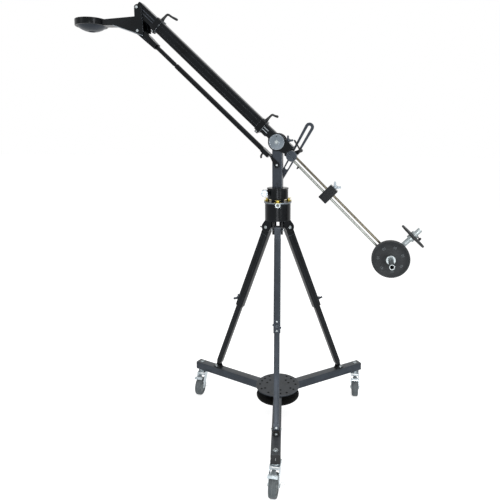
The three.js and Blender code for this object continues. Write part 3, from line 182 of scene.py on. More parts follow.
def new_group(name, inputs, *outputs):
    """An empty node group. An input is a number or a vector by its value, an output by name."""
    tree = bpy.data.node_groups.new(name, "ShaderNodeTree")
    for label, value in inputs.items():
        kind = "NodeSocketFloat" if isinstance(value, float) else "NodeSocketVector"
        socket = tree.interface.new_socket(label, in_out="INPUT", socket_type=kind)
        if value is not None:
            socket.default_value = value
    for label in outputs:
        kind = "NodeSocketVector" if label == "Normal" else "NodeSocketFloat"
        tree.interface.new_socket(label, in_out="OUTPUT", socket_type=kind)
    start = tree.nodes.new("NodeGroupInput")
    end = tree.nodes.new("NodeGroupOutput")
    return tree, start.outputs, end.inputs


print("white paper at half tone is", [round(c, 3) for c in ink("808080")[:3]])

# %% [markdown]
# ## Effects that many finishes share
# Anodising rubs bright where a corner is handled. Rolled and drawn metal has fine lines along its
# length, turned metal has rings round its axis, and a blasted face has an even fine grain. Dust
# lies on whatever faces up. Each effect is a node group, made once, with named inputs, so that
# every finish can use it at its own scale.

# %% Edge wear
tree, given, out = new_group(
    "edge_wear", {"Vector": None, "Radius": 0.0015, "Breakup": 160.0, "Amount": 1.0}, "Mask",
    "Normal")
soft = add(tree, "Bevel", {"samples": 4}, Radius=given["Radius"])
alike = add(tree, "VectorMath", {"operation": "DOT_PRODUCT"}, i0=soft.outputs["Normal"],
            i1=add(tree, "NewGeometry").outputs["Normal"])
bent = math_node(tree, "SUBTRACT", 1.0, alike.outputs["Value"], clamp=True)
broken = math_node(tree, "MULTIPLY", math_node(tree, "MULTIPLY", bent, 9.0),
                   noise(tree, given["Vector"], given["Breakup"], 3.0))
tree.links.new(math_node(tree, "MULTIPLY", broken, given["Amount"], clamp=True), out["Mask"])
tree.links.new(soft.outputs["Normal"], out["Normal"])
edge_wear = tree
print("made group", edge_wear.name)

# %% Grain, drawn lines and blotches
tree, given, out = new_group(
    "surface_grain", {"Vector": None, "Stretch": (1.0, 1.0, 1.0), "Scale": 900.0, "Blotch": 12.0},
    "Grain", "Blotches")
stretched = add(tree, "VectorMath", {"operation": "MULTIPLY"}, i0=given["Vector"],
                i1=given["Stretch"])
tree.links.new(noise(tree, stretched.outputs[0], given["Scale"], 2.0, 0.6), out["Grain"])
tree.links.new(noise(tree, given["Vector"], given["Blotch"], 4.0, 0.65), out["Blotches"])
surface_grain = tree
print("made group", surface_grain.name)

# %% Rings left by a lathe
tree, given, out = new_group("turned_rings", {"Vector": None, "Rings": 1400.0}, "Rings")
flat = add(tree, "VectorMath", {"operation": "MULTIPLY"}, i0=given["Vector"], i1=(1.0, 1.0, 0.0))
radius = add(tree, "VectorMath", {"operation": "LENGTH"}, i0=flat.outputs[0])
height = add(tree, "SeparateXYZ", i0=given["Vector"])
along = math_node(tree, "ADD", radius.outputs["Value"], height.outputs["Z"])
cut_line = add(tree, "TexNoise", {"noise_dimensions": "1D"}, W=along, Scale=given["Rings"],
               Detail=3.0)
tree.links.new(cut_line.outputs[0], out["Rings"])
turned_rings = tree
print("made group", turned_rings.name)

# %% Dust on faces that look up
tree, given, out = new_group("settled_dust", {"Vector": None, "Scale": 60.0, "Amount": 0.2}, "Mask")
facing = add(tree, "SeparateXYZ", i0=add(tree, "NewGeometry").outputs["Normal"])
lying = math_node(tree, "POWER", math_node(tree, "MAXIMUM", facing.outputs["Z"], 0.0), 3.0)
patchy = math_node(tree, "MULTIPLY", lying, noise(tree, given["Vector"], given["Scale"], 6.0, 0.75))
tree.links.new(math_node(tree, "MULTIPLY", patchy, given["Amount"], clamp=True), out["Mask"])
settled_dust = tree
print("made group", settled_dust.name)

# %% [markdown]
# ## One recipe for a finish
# All the crane's surfaces are built the same way: two close colours mixed in wide blotches, a
# fine grain that moves both the gloss and the height, a rubbed colour on the edges, and a little
# dust. What differs is the numbers. Values that are the same all over are set on the shader
# itself, and only what varies comes through the nodes.

# %% The finish recipe
def use(tree, group, **inputs):
    """The outputs of a node group."""
    return add(tree, "Group", {"node_tree": group}, **inputs).outputs


def finish(name, slot, base, other, rubbed, gloss=(0.3, 0.45), metallic=0.0, shine=0.5,
           stretch=(1, 1, 1), grain=900.0, relief=0.00004, blotch=12.0, wear=1.0,
           wear_radius=0.0015, dust=0.15, rings=0.0, painted_edge_shade=None):
    """A material from screen colours, a range of roughness, and the scales of its marks.

    The slot, the one that most pieces with this finish belong to, is not used.
    """
    made = bpy.data.materials.new(name)
    made.use_nodes = True
    tree = made.node_tree
    shader = tree.nodes["Principled BSDF"]
    where = add(tree, "TexCoord").outputs["Object"]
    edges = use(tree, edge_wear, Vector=where, Radius=wear_radius, Amount=wear) if wear else None
    marks = use(tree, surface_grain, Vector=where, Stretch=stretch, Scale=grain, Blotch=blotch)
    detail = marks["Grain"]
    if rings:
        lines = use(tree, turned_rings, Vector=where, Rings=rings)
        detail = math_node(tree, "ADD", math_node(tree, "MULTIPLY", lines["Rings"], 0.7),
                           math_node(tree, "MULTIPLY", marks["Grain"], 0.3))
    shades = add(tree, "MapRange", Value=marks["Blotches"], From_Min=0.35, From_Max=0.65)
    colour = mix_colour(tree, shades.outputs[0], ink(base), ink(other))
    colour = mix_colour(tree, math_node(tree, "MULTIPLY", detail, 0.35), colour, ink(other))
    # Painted shade: where asked, the colour darkens toward a given colour where the surface turns
    # away from the view.
    if painted_edge_shade:
        facing = add(tree, "LayerWeight", Blend=0.35).outputs["Facing"]
        colour = mix_colour(tree, facing, colour, ink(painted_edge_shade))
    if edges:
        colour = mix_colour(tree, edges["Mask"], colour, ink(rubbed))
    rough = add(tree, "MapRange", Value=detail, From_Min=0.25, From_Max=0.75,
                To_Min=gloss[0], To_Max=gloss[1]).outputs[0]
    if dust:
        lying = use(tree, settled_dust, Vector=where, Amount=dust)["Mask"]
        colour = mix_colour(tree, lying, colour, ink("b9b7b0"))
        rough = math_node(tree, "ADD", rough, math_node(tree, "MULTIPLY", lying, 0.5), clamp=True)
    bump = add(tree, "Bump", Strength=1.0, Distance=relief, Height=detail)
    if edges:
        tree.links.new(edges["Normal"], bump.inputs["Normal"])
    tree.links.new(colour, shader.inputs["Base Color"])
    tree.links.new(rough, shader.inputs["Roughness"])
    tree.links.new(bump.outputs[0], shader.inputs["Normal"])
    shader.inputs["Metallic"].default_value = metallic
    shader.inputs["Specular IOR Level"].default_value = shine
    return made


print("the recipe has the groups", [g.name for g in bpy.data.node_groups])

# %% [markdown]
# ## The crane's finishes
# The tubes and housings are aluminium, anodised black or slate: dark, satin, faintly blue where
# they catch the light. Extrusions keep fine lines along their length, so those finishes stretch
# the grain along one axis. The casters are bright zinc, the rods drawn steel, the levelling nuts
# turned brass, and the plates cast iron under a rough charcoal paint. On the rods, the bright
# steel and the silver knobs, painted shade darkens the colour where they turn away from the view.
# The upper rod is painted darker than the lower one, as a shaded copy of the same steel, and a
# pale finish paints highlights on the rail strips. The drawn steel and the rail strips are too
# slim for rubbed edges, so they have none.

# %% Anodised aluminium
LINES = {"x": (0.01, 1, 1), "z": (1, 1, 0.01), "even": (1, 1, 1)}
black, slate = {}, {}
for way, stretch in LINES.items():
    black[way] = finish("black_anodised_" + way, "satin_black", "090b0d", "121518", "59616b",
                        gloss=(0.2, 0.3), metallic=0.5, shine=0.22, stretch=stretch, wear=0.6,
                        relief=0.00001)
    slate[way] = finish("slate_anodised_" + way, "slate_anodised", "272c32", "343a42", "79828d",
                        gloss=(0.26, 0.38), metallic=0.6, shine=0.35, stretch=stretch, wear=0.7,
                        relief=0.000015)
hub_grey = finish("hub_grey_anodised", "hub_grey", "1f242a", "2a3037", "79828d", gloss=(0.42, 0.55),
                  metallic=0.5, shine=0.35, grain=1500.0, dust=0.1)
disc_grey = finish("turned_grey_disc", "disc_grey", "5f6870", "747d85", "bdc4c9",
                   gloss=(0.26, 0.42), metallic=0.8, rings=1600.0, relief=0.00008, dust=0.05)
knob_grey = finish("turned_slate_knob", "silver_knob", "2c3239", "3a4149", "8a929b",
                   gloss=(0.32, 0.46), metallic=0.6, shine=0.4, rings=1300.0, dust=0.05)
print("anodised finishes", sorted(m.name for m in (*black.values(), *slate.values())))

# %% Bright metals, iron, rubber and plastic
zinc = finish("bright_zinc", "zinc_plate", "8d989d", "bcc6cb", "e4eaed", gloss=(0.2, 0.34),
              metallic=0.8, grain=600.0, blotch=45.0, relief=0.00006, dust=0.1)
DRAWN = {"metallic": 1.0, "stretch": (1, 1, 0.004), "relief": 0.000003, "blotch": 4.0,
         "wear": 0, "dust": 0}
# Painted light: the two rods are the same steel, the upper one painted dark as shaded, the lower
# one pale as lit.
drawn_steel = {
    "upper": finish("drawn_steel_painted_shaded", "polished_steel", "534f45", "686457", "b5b2a7",
                    gloss=(0.2, 0.3), painted_edge_shade="1c1d1a", **DRAWN),
    "lower": finish("drawn_steel_painted_lit", "polished_steel", "7f837f", "909490", "e6e8e5",
                    gloss=(0.32, 0.4), painted_edge_shade="50544f", **DRAWN)}
rail_highlight_metal = finish("rail_painted_highlight", "satin_black", "8b9398", "a4abb0", "d0d5d8",
                    gloss=(0.25, 0.35), metallic=0.7, stretch=(0.01, 1, 1), relief=0.000005, wear=0,
                    dust=0)
bright = finish("bright_turned_steel", "zinc_plate", "868f92", "aeb6b8", "f0f3f4",
                gloss=(0.26, 0.4), metallic=0.8, rings=1500.0, relief=0.00003, dust=0.05,
                painted_edge_shade="565d5f")
silver = finish("silver_cast_knob", "silver_knob", "858f97", "a6b0b7", "e4e8eb", gloss=(0.24, 0.4),
                metallic=0.75, grain=500.0, relief=0.00008, dust=0.08, painted_edge_shade="6a7278")
brass = finish("turned_brass", "brass", "8d7c2e", "c3b153", "efe3a2", gloss=(0.2, 0.34),
               metallic=1.0, rings=1800.0, relief=0.00005, dust=0.05)
iron = finish("painted_cast_iron", "cast_iron", "101316", "1b1f22", "6d7377", gloss=(0.38, 0.62),
              metallic=0.25, shine=0.4, grain=260.0, relief=0.0009, blotch=30.0, wear=0.9,
              wear_radius=0.003, dust=0.12)
rubbed_iron = finish("rubbed_iron_numerals", "cast_iron", "3f4549", "565c60", "7d8387",
                     gloss=(0.36, 0.55), metallic=0.4, grain=500.0, relief=0.0003, blotch=60.0,
                     dust=0.05)
tyre_rubber = finish("grey_tyre_rubber", "grey_rubber", "40474a", "545b5e", "868c8e",
                     gloss=(0.62, 0.85), grain=420.0, relief=0.00025, blotch=40.0, dust=0.25)
wheel_core = finish("moulded_wheel_core", "grey_rubber", "737a7c", "868d8e", "a5abab",
                    gloss=(0.45, 0.6), grain=800.0, relief=0.00006)
painted_bore_shade = finish("painted_shade_bore", "satin_black", "020203", "050607", "0b0c0d", gloss=(0.7, 0.9),
                    shine=0.1, wear=0, dust=0)
plastic = finish("black_moulded_plastic", "black_plastic", "0b0d0f", "16191c", "343a3f",
                 gloss=(0.3, 0.46), shine=0.35, grain=1100.0, relief=0.00008, wear=0.5, dust=0.08)
print("finishes made:", len(bpy.data.materials))

# %% [markdown]
# ## Dressing the engineering model
# The frame's own solids stay wherever their shape is right. Each has a slot that names the kind
# of finish it wears, so one table turns slots into materials, and the solids are dressed in a
# loop. The rounder parts are made again later with more sides, and stand in for the plain ones.

# %% Dress the solids
DRESS = {
    "satin_black": black["even"], "slate_anodised": slate["even"], "hub_grey": hub_grey,
    "disc_grey": disc_grey, "zinc_plate": zinc, "grey_rubber": tyre_rubber, "brass": brass,
    "polished_steel": bright, "silver_knob": silver, "cast_iron": iron, "black_plastic": plastic,
}
came_with = set()
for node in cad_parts.values():
    for place_in_mesh in node.material_slots:
        came_with.add(place_in_mesh.material)
        place_in_mesh.material = DRESS[place_in_mesh.material.name.split(".")[0]]
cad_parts["trim_block"].material_slots[0].material = black["even"]
for old in came_with:
    bpy.data.materials.remove(old)
print("dressed", len(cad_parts), "solids")

# %% [markdown]
# ## Drawing shapes in code
# Nearly every part of such a machine is turned on a lathe, sawn from an extrusion, cut from a
# plate or bent from a bar. So there is one function for each of these ways of making, in
# millimetres, and they hand back an editable mesh. Soft corners come from a bevel modifier, whose
# hardened normals keep the flat faces flat.

# %% Turned shapes
def turned(profile, sides=64, hexes=()):
    """Radius and height pairs turned about Z. Rows in hexes are six-sided, by distance across."""
    shape = bmesh.new()
    rows = []
    for row, (radius, height) in enumerate(profile):
        if radius < 1e-6:
            rows.append([shape.verts.new((0, 0, height))])
            continue
        loop = []
        for i in range(sides):
            turn = 2 * math.pi * i / sides
            reach = radius
            if row in hexes:
                reach = radius / math.cos((turn + math.pi / 6) % (math.pi / 3) - math.pi / 6)
            loop.append(shape.verts.new((reach * math.cos(turn), reach * math.sin(turn), height)))
        rows.append(loop)
    pairs = list(zip(rows, rows[1:]))
    if profile[0][0] > 0 and profile[-1][0] > 0:
        pairs.append((rows[-1], rows[0]))
    for low, high in pairs:
        for i in range(max(len(low), len(high))):
            j = (i + 1) % sides
            corners = [low[i % len(low)], low[j % len(low)], high[j % len(high)],
                       high[i % len(high)]]
            shape.faces.new(list(dict.fromkeys(corners)))
    bmesh.ops.recalc_face_normals(shape, faces=shape.faces)
    return shape


def rod(radius, low, high, sides=24, bore=0):
    """A plain round bar or disc along Z, hollow if it has a bore."""
    return turned([(bore, low), (radius, low), (radius, high), (bore, high)], sides)


print("a twelve-sided bar has", len(rod(5, 0, 2, 12).faces), "faces")


# %% Extruded and plate shapes
def arc(x, y, radius, start, stop, steps=8):
    """Points along an arc from one angle to another, in degrees."""
    turns = [math.radians(start + (stop - start) * i / steps) for i in range(steps + 1)]
    return [(x + radius * math.cos(t), y + radius * math.sin(t)) for t in turns]


def rounded(width, height, radius, steps=6):
    """The outline of a rectangle with round corners."""
    x, y = width / 2 - radius, height / 2 - radius
    corners = ((x, y, 0), (-x, y, 90), (-x, -y, 180), (x, -y, 270))
    return [p for cx, cy, turn in corners for p in arc(cx, cy, radius, turn, turn + 90, steps)]


def grooved(width, height, radius, lines, deep=0.8, wide=2.0, steps=5):
    """A rectangle with round corners and fine grooves in the two faces across its height."""
    points = []
    for sign in (1, -1):
        x, y, turn = sign * (width / 2 - radius), sign * (height / 2 - radius), 90 - 90 * sign
        edge, floor = sign * height / 2, sign * (height / 2 - deep)
        points += arc(x, y, radius, turn, turn + 90, steps)
        for line in sorted(lines, reverse=sign > 0):
            points += [(line + sign * wide / 2, edge), (line + sign * wide * 0.3, floor),
                       (line - sign * wide * 0.3, floor), (line - sign * wide / 2, edge)]
        points += arc(-x, y, radius, turn + 90, turn + 180, steps)
    return points


def extruded(outline, start, stop, axis="X", hole=None):
    """An outline pushed along an axis. A hole needs as many points as the outline has."""
    put = {"X": lambda a, b, s: (s, a, b), "Y": lambda a, b, s: (a, s, b),
           "Z": lambda a, b, s: (a, b, s)}[axis]
    shape = bmesh.new()

    def loops(points):
        return [[shape.verts.new(put(a, b, s)) for a, b in points] for s in (start, stop)]

    def walls(low, high):
        for i in range(len(low)):
            j = (i + 1) % len(low)
            shape.faces.new((low[i], low[j], high[j], high[i]))

    outer = loops(outline)
    walls(*outer)
    if hole:
        inner = loops(hole)
        walls(*inner)
        for out_loop, in_loop in zip(outer, inner):
            walls(out_loop, in_loop)
    else:
        for loop in outer:
            shape.faces.new(loop)
    bmesh.ops.recalc_face_normals(shape, faces=shape.faces)
    return shape


def block(x, y, z):
    """A box from its two extreme coordinates along each axis."""
    return extruded([(x[0], y[0]), (x[1], y[0]), (x[1], y[1]), (x[0], y[1])], *z, axis="Z")


# %% Bent bars
def swept(route, radii, sides=14, steps=6, flat=1.0):
    """A bar along a smooth route, as thick as each radius, flattened by a share if asked."""
    knots = [Vector(p) for p in route]
    ends = [2 * knots[0] - knots[1], *knots, 2 * knots[-1] - knots[-2]]
    path, sizes = [], []
    for i in range(len(knots) - 1):
        a, b, c, d = ends[i:i + 4]
        for step in range(steps + (i == len(knots) - 2)):
            t = step / steps
            path.append(0.5 * (2 * b + (c - a) * t + (2 * a - 5 * b + 4 * c - d) * t ** 2
                               + (3 * b - a - 3 * c + d) * t ** 3))
            sizes.append(radii[i] * (1 - t) + radii[i + 1] * t)
    shape = bmesh.new()
    heading = (path[1] - path[0]).normalized()
    across = heading.orthogonal().normalized()
    rows = []
    for i, point in enumerate(path):
        ahead = (path[min(i + 1, len(path) - 1)] - path[max(i - 1, 0)]).normalized()
        across = (heading.rotation_difference(ahead) @ across).normalized()
        heading = ahead
        beside = heading.cross(across)
        row = []
        for k in range(sides):
            turn = 2 * math.pi * k / sides
            out = across * math.cos(turn) + beside * math.sin(turn) * flat
            row.append(shape.verts.new(point + out * sizes[i]))
        rows.append(row)
    for low, high in zip(rows, rows[1:]):
        for k in range(sides):
            j = (k + 1) % sides
            shape.faces.new((low[k], low[j], high[j], high[k]))
    shape.faces.new(rows[0])
    shape.faces.new(rows[-1])
    bmesh.ops.recalc_face_normals(shape, faces=shape.faces)
    return shape


def joined(*shapes):
    """Several shapes as one mesh."""
    whole = shapes[0]
    for shape in shapes[1:]:
        kept = bpy.data.meshes.new("kept")
        shape.to_mesh(kept)
        whole.from_mesh(kept)
        bpy.data.meshes.remove(kept)
        shape.free()
    return whole


def moved(shape, offset, *turns):
    """The shape set at an offset in millimetres and turned about named axes."""
    where = Matrix.Translation(Vector(offset))
    for axis, degrees in turns:
        where = where @ Matrix.Rotation(math.radians(degrees), 4, axis)
    shape.transform(where)
    return shape


# %% [markdown]
# ## From a shape to a piece
# A piece needs a name, a finish, a place, and a body to ride on, so that it moves when the crane
# moves. When it stands for a solid of the frame, the cell also prints how far its box is from
# that solid's box, which would show a slip at once.

# %% The piece maker
piece_count = {}


def make(name, shape, material, body, at=hub, bevel=0.0, smooth=32, instead=None):
    """Makes a piece from a shape in millimetres. instead names the solid it stands for."""
    shape.transform(Matrix.Scale(MM, 4))
    mesh = bpy.data.meshes.new(name)
    shape.to_mesh(mesh)
    shape.free()
    mesh.materials.append(material)
    mesh.shade_smooth()
    mesh.set_sharp_from_angle(angle=math.radians(smooth))
    piece = new_object(name, mesh)
    piece.matrix_world = at
    if bevel:
        soft_edges = piece.modifiers.new("soft_edges", "BEVEL")
        soft_edges.width = bevel * MM
        soft_edges.segments = 2
        soft_edges.limit_method = "ANGLE"
        soft_edges.angle_limit = math.radians(smooth)
        soft_edges.harden_normals = True
    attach(piece, body)
    if instead:
        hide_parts(instead)
        low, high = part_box(instead)
        points = [at @ v.co for v in mesh.vertices]
        worst = max(abs(end(p[k] for p in points) - edge[k])
                    for k in range(3) for end, edge in ((min, low), (max, high)))
        print("%-24s %.1f mm from its solid's box" % (name, worst / MM))
    piece_count[body] = piece_count.get(body, 0) + 1


print("pieces so far:", sum(piece_count.values()))

# %% [markdown]
# ## Screws and bolts
# Small fasteners give a machine its scale. A bolt head is a turned shape whose upper rows are
# six-sided, and a socket screw has a round head with a six-sided hole sunk in it. Both come from
# the same lathe function, because its rows can be round or six-sided.

# %% Fasteners
def hex_head(across, height):
    """A six-sided bolt head standing on z = 0, with a washer below."""
    half = across / 2
    rows = [(0, 0), (half * 1.25, 0), (half * 1.25, 0.8), (half * 0.98, 1.0), (half * 0.98, 1.3),
            (half, 1.3), (half, height - 0.7), (half * 0.94, height), (0, height)]
    return turned(rows, 36, hexes=(5, 6))


def socket_head(radius, height, socket=0.45):
    """A round screw head standing on z = 0, with a six-sided socket."""
    inner = radius * socket
    rows = [(0, 0), (radius, 0), (radius, height * 0.55), (radius * 0.9, height * 0.88),
            (radius * 0.78, height), (inner, height), (inner * 0.96, height * 0.35),
            (0, height * 0.3)]
    return turned(rows, 36, hexes=(5, 6))


print("a bolt head has", len(hex_head(10, 5).faces), "faces")

# %% [markdown]
# ## The hub of the dolly
# Two round plates clamp the three square arms. The upper one is blasted grey, with eight bores
# for each arm drawn as painted shade, flat near-black discs on its face, and the lower one has
# four screws below each arm. A turned disc has a truer edge than the solid's flat sides, so a disc
# stands in for each plate.

# %% Hub plates and screws
BORES = ((58, -15), (58, 15), (92, -15), (92, 15), (83, -48), (83, 48), (38, 68), (50, 84))
HUB_BOTTOM = -56.6
make("hub_disc_upper", rod(117, -6, 0, 128), hub_grey, "dolly", bevel=0.9, instead="hub_plate_top")
make("hub_disc_lower", rod(115, HUB_BOTTOM, -50.6, 128), black["even"], "dolly", bevel=0.9,
     instead="hub_plate_bottom")
for side in ARM_AZIMUTH:
    # Painted shade: each bore is a near-black disc on the face, not a hole.
    bore_shades = [moved(rod(5.6, -1, 0.5, 32), (along, across, 0)) for along, across in BORES]
    make("hub_bore_shades_" + side, joined(*bore_shades), painted_bore_shade, "dolly", arms[side])
    screws = [moved(socket_head(4.6, 2.2), (along, across, HUB_BOTTOM), ("X", 180))
              for along in (58, 96) for across in (-15, 15)]
    make("hub_screws_" + side, joined(*screws), plastic, "dolly", arms[side])
print("dolly pieces:", piece_count["dolly"])

# %% [markdown]
# ## Arms, end plugs and feet
# The arms are square extrusions with soft corners and a hollow end, closed by a pushed-in black
# plug with a moulded rib, whose pale grey colour paints a highlight on it. The real corner radius
# matters here, because it makes the thin bright line along the tube. Each leg stands in a small
# fork that is held by one bright screw.

# %% Arms and feet
for side in ARM_AZIMUTH:
    tube = extruded(rounded(ARM_WIDTH, ARM_WIDTH, 3.5), 30, ARM_END, "X",
                    hole=rounded(ARM_WIDTH - 6, ARM_WIDTH - 6, 2))
    make("arm_tube_" + side, moved(tube, (0, 0, ARM_MIDDLE)), slate["x"], "dolly", arms[side],
         bevel=0.4, instead="dolly_arm_" + side)
    plug = joined(extruded(rounded(37.4, 37.4, 1.8), ARM_END - 15, ARM_END, "X"),
                  extruded(rounded(43.4, 43.4, 3.4), ARM_END + 0.1, ARM_END + 3, "X"))
    make("arm_plug_" + side, moved(plug, (0, 0, ARM_MIDDLE)), plastic, "dolly", arms[side],
         bevel=0.8)
    # The rib's pale grey is a painted highlight on the black plug.
    rib = extruded(rounded(2.4, 13, 1.1), ARM_END + 3, ARM_END + 4, "X")
    make("plug_rib_" + side, moved(rib, (0, 0, -27)), wheel_core, "dolly", arms[side],
         bevel=0.3)
    make("foot_screw_" + side, moved(socket_head(6.6, 4.4), (424, 0, -2.9)), bright, "dolly",
         arms[side])
    for turn in (90, -90):
        head = moved(hex_head(10, 4.5), (FOOT_RADIUS, -20.2 * turn / 90, 8.7), ("X", turn))
        make("foot_bolt_%s_%s" % (side, "near" if turn > 0 else "far"), head, bright, "dolly",
             arms[side])
print("dolly pieces:", piece_count["dolly"])

# %% [markdown]
# ## Casters
# A caster is a pressed zinc yoke under a ball race, with a grey rubber tyre on a moulded core and
# a pedal that presses a shoe on the tread. The tyre needs its rounded shoulders and the thin line
# where its mould parted; the pedal needs its curled lip and its ribs, because they catch light.

# %% Caster yokes
def torus(radius, wire, sides=48):
    """A ring of wire round Z."""
    return turned([(radius + wire * math.cos(t * math.pi / 5), wire * math.sin(t * math.pi / 5))
                   for t in range(10)], sides)


for side in ARM_AZIMUTH:
    at, body = casters[side], "caster_" + side
    race = turned([(0, -0.3), (19, -0.3), (19.6, -1.4), (19.6, -3.6), (18.4, -4.6), (20, -5.6),
                   (24.4, -6.6), (25.3, -8.2), (24.4, -9.8), (22, -11), (0, -11)], 64)
    crown = moved(extruded(rounded(54, 46.4, 7), -13.6, -11, "Z"), (3, 0, 0))
    cheek = [(-24, -11), (-24, -17), (-14, -40), (31, -WHEEL_DROP),
             *arc(WHEEL_TRAIL, -WHEEL_DROP, 13, 180, 360, 10), (50, -60), (38, -30), (32, -16),
             (30, -11)]
    cheeks = [extruded(cheek, y, y + 2.6, "Y") for y in (-23.2, 20.6)]
    make("caster_yoke_" + side, joined(race, crown, *cheeks), zinc, body, at, bevel=0.8,
         instead="caster_fork_" + side)
    axle = joined(rod(4, -23, 23),
                  moved(hex_head(13, 4.5), (0, 0, 23.2)),
                  moved(hex_head(13, 4.5), (0, 0, -23.2), ("X", 180)))
    moved(axle, (WHEEL_TRAIL, 0, -WHEEL_DROP), ("X", 90))
    make("caster_axle_" + side, axle, bright, body, at)
    make("caster_bolt_" + side, moved(socket_head(8.5, 5.5, 0.5), (0, 0, 44.3)), bright, body, at)
    # Painted shade: a black six-sided plug fills the bolt head's socket.
    make("caster_socket_" + side, rod(4, 46, 49.2, 6), plastic, body, at)
    make("caster_washer_" + side, rod(11, 44.1, 45.3, 40, 5), zinc, body, at)
    ring = moved(torus(8, 0.9), (WHEEL_TRAIL - 2, 37.4, -WHEEL_DROP + 10), ("Y", 90))
    make("ring_pull_" + side, ring, bright, body, at)
print("caster pieces:", piece_count["caster_front"], "each")

# %% Wheels
def mirrored(half):
    """A profile and its mirror image below, closed on itself."""
    return half + [(radius, -height) for radius, height in reversed(half)]


for side in ARM_AZIMUTH:
    at, body = casters[side], "wheel_" + side
    hub_at = ((WHEEL_TRAIL, 0, -WHEEL_DROP), ("X", 90))
    tyre = mirrored([(35, 15.4), (39, 16.6), (44, 17.2), (46.4, 16.8), (49.2, 12.4),
                     (WHEEL_RADIUS, 10), (WHEEL_RADIUS, 1), (WHEEL_RADIUS - 0.5, 0.6)])
    make("tyre_" + side, moved(turned(tyre, 96), *hub_at), tyre_rubber, body, at, smooth=40,
         instead="caster_wheel_" + side)
    core = mirrored([(4.7, 17.5), (11.4, 17.5), (12.2, 16.6), (13.4, 9.2), (15, 8), (31, 7),
                     (33, 8), (35.2, 13.6), (37, 14.6)])
    make("wheel_core_" + side, moved(turned(core, 96), *hub_at), wheel_core, body, at)
    spokes = []
    for turn in range(0, 360, 60):
        for face in (0, 180):
            spoke = extruded([(12, -2), (33, -3), (33, 3), (12, 2)], 6.6, 10.5, "Z")
            spokes.append(moved(moved(spoke, (0, 0, 0), ("X", face), ("Z", turn)), *hub_at))
    make("wheel_spokes_" + side, joined(*spokes), wheel_core, body, at, bevel=0.6)
print("wheel pieces:", piece_count["wheel_front"], "each")

# %% Brake pedals
PEDAL = ((32, 0, -20), ("Y", 7))
for side in ARM_AZIMUTH:
    plate_outline = [(0, -9), (12, -9), (34, -17), (34, 17), (12, 9), (0, 9)]
    tongue = extruded(plate_outline, -1.2, 1.2, "Z")
    lip = [(32, 1.3), (42, 1.2), (46.6, -0.4), (48.6, -4.6), (46.8, -5.4), (45, -2.4),
           (41, -1.0), (32, -1.2)]
    pad = extruded(lip, -22.5, 22.5, "Y")
    ribs = [extruded([(x, 1.2), (x + 1.8, 1.2), (x + 1.3, 2.8), (x + 0.5, 2.8)], -19, 19, "Y")
            for x in (34, 38)]
    arm_of_pedal = moved(joined(tongue, pad, *ribs), *PEDAL)
    pin = moved(rod(4, -20.4, 20.4, 32), PEDAL[0], ("X", 90))
    shoe = extruded([(37, -21), (37, -37), (51, -37), (72, -25)], -8, 8, "Y")
    make("brake_pedal_" + side, joined(arm_of_pedal, pin, shoe), zinc, "brake_" + side,
         casters[side], bevel=0.5, instead="caster_brake_" + side)
    # Painted shade: a thin black strip fills the gap between the pedal's ribs.
    painted_rib_shade = extruded([(36.2, 1.3), (37.6, 1.3), (37.4, 1.7), (36.4, 1.7)], -18.6, 18.6, "Y")
    make("pedal_gap_" + side, moved(painted_rib_shade, *PEDAL), plastic, "brake_" + side, casters[side])
print("brake pedals:", piece_count["brake_front"], "each")

# %% [markdown]
# ## The tripod's legs
# Each leg is one rectangular extrusion sliding in another, and both have fine grooves down their
# flanks that draw thin light and dark lines along them. The outer tube ends in a round head
# between the housing's ears, and the inner one in a tongue between the foot's ears. The front
# leg faces the light, so its tubes are painted slate as a lit copy of the black, while the other
# two stay black.

# %% Leg tubes
for side in ARM_AZIMUTH:
    lines = (-11, 11)
    sleeve = extruded(grooved(41, 33.6, 3, lines), -502, -46, "Z",
                      hole=grooved(36.6, 29.2, 2, lines, deep=0))
    head = extruded([(-20.5, -48), (20.5, -48), *arc(0, 0, 20.5, 0, 180, 24)], -16, 16, "Y")
    clamp = joined(block((20.4, 23), (-10, 10), (-494, -446)),
                   moved(turned([(0, 22.8), (8, 22.8), (8, 24.6), (7.5, 25), (0, 25)], 40),
                         (0, 0, -CLAMP_DROP), ("Y", 90)))
    # Painted light: the lit front leg is painted slate, the shaded two black.
    leg_tone_by_light = slate["z"] if side == "front" else black["z"]
    make("leg_sleeve_" + side, joined(sleeve, head, clamp), leg_tone_by_light, "leg_" + side, legs[side],
         bevel=0.5, instead="leg_outer_" + side)
    bushing = extruded(rounded(36.4, 29, 2), -503.5, -484, "Z", hole=rounded(30.8, 27.6, 2))
    make("leg_bushing_" + side, bushing, plastic, "leg_" + side, legs[side], bevel=0.5)
    low = -LEG_SPAN
    tube = extruded(grooved(30.2, 27, 2.5, (-6, 6)), low + 27, -326, "Z")
    tongue = extruded([(12.5, low + 29), (-12.5, low + 29), (-12.5, low + 27),
                       *arc(0, low, 8.5, 180, 360, 16), (12.5, low + 27)], -12.5, 12.5, "Y")
    make("leg_slide_" + side, joined(tube, tongue), leg_tone_by_light, "leg_slide_" + side, legs[side],
         bevel=0.5, instead="leg_inner_" + side)
print("leg tubes:", piece_count["leg_front"], piece_count["leg_slide_front"])

# %% [markdown]
# ## The tripod's clamps
# Each leg's outer tube is pinched on the inner one by a two-winged knob, with a bright screw
# above and below it. The wings are one flat outline with a dip between them, made soft by a wide
# bevel, so the knob looks cast rather than cut.

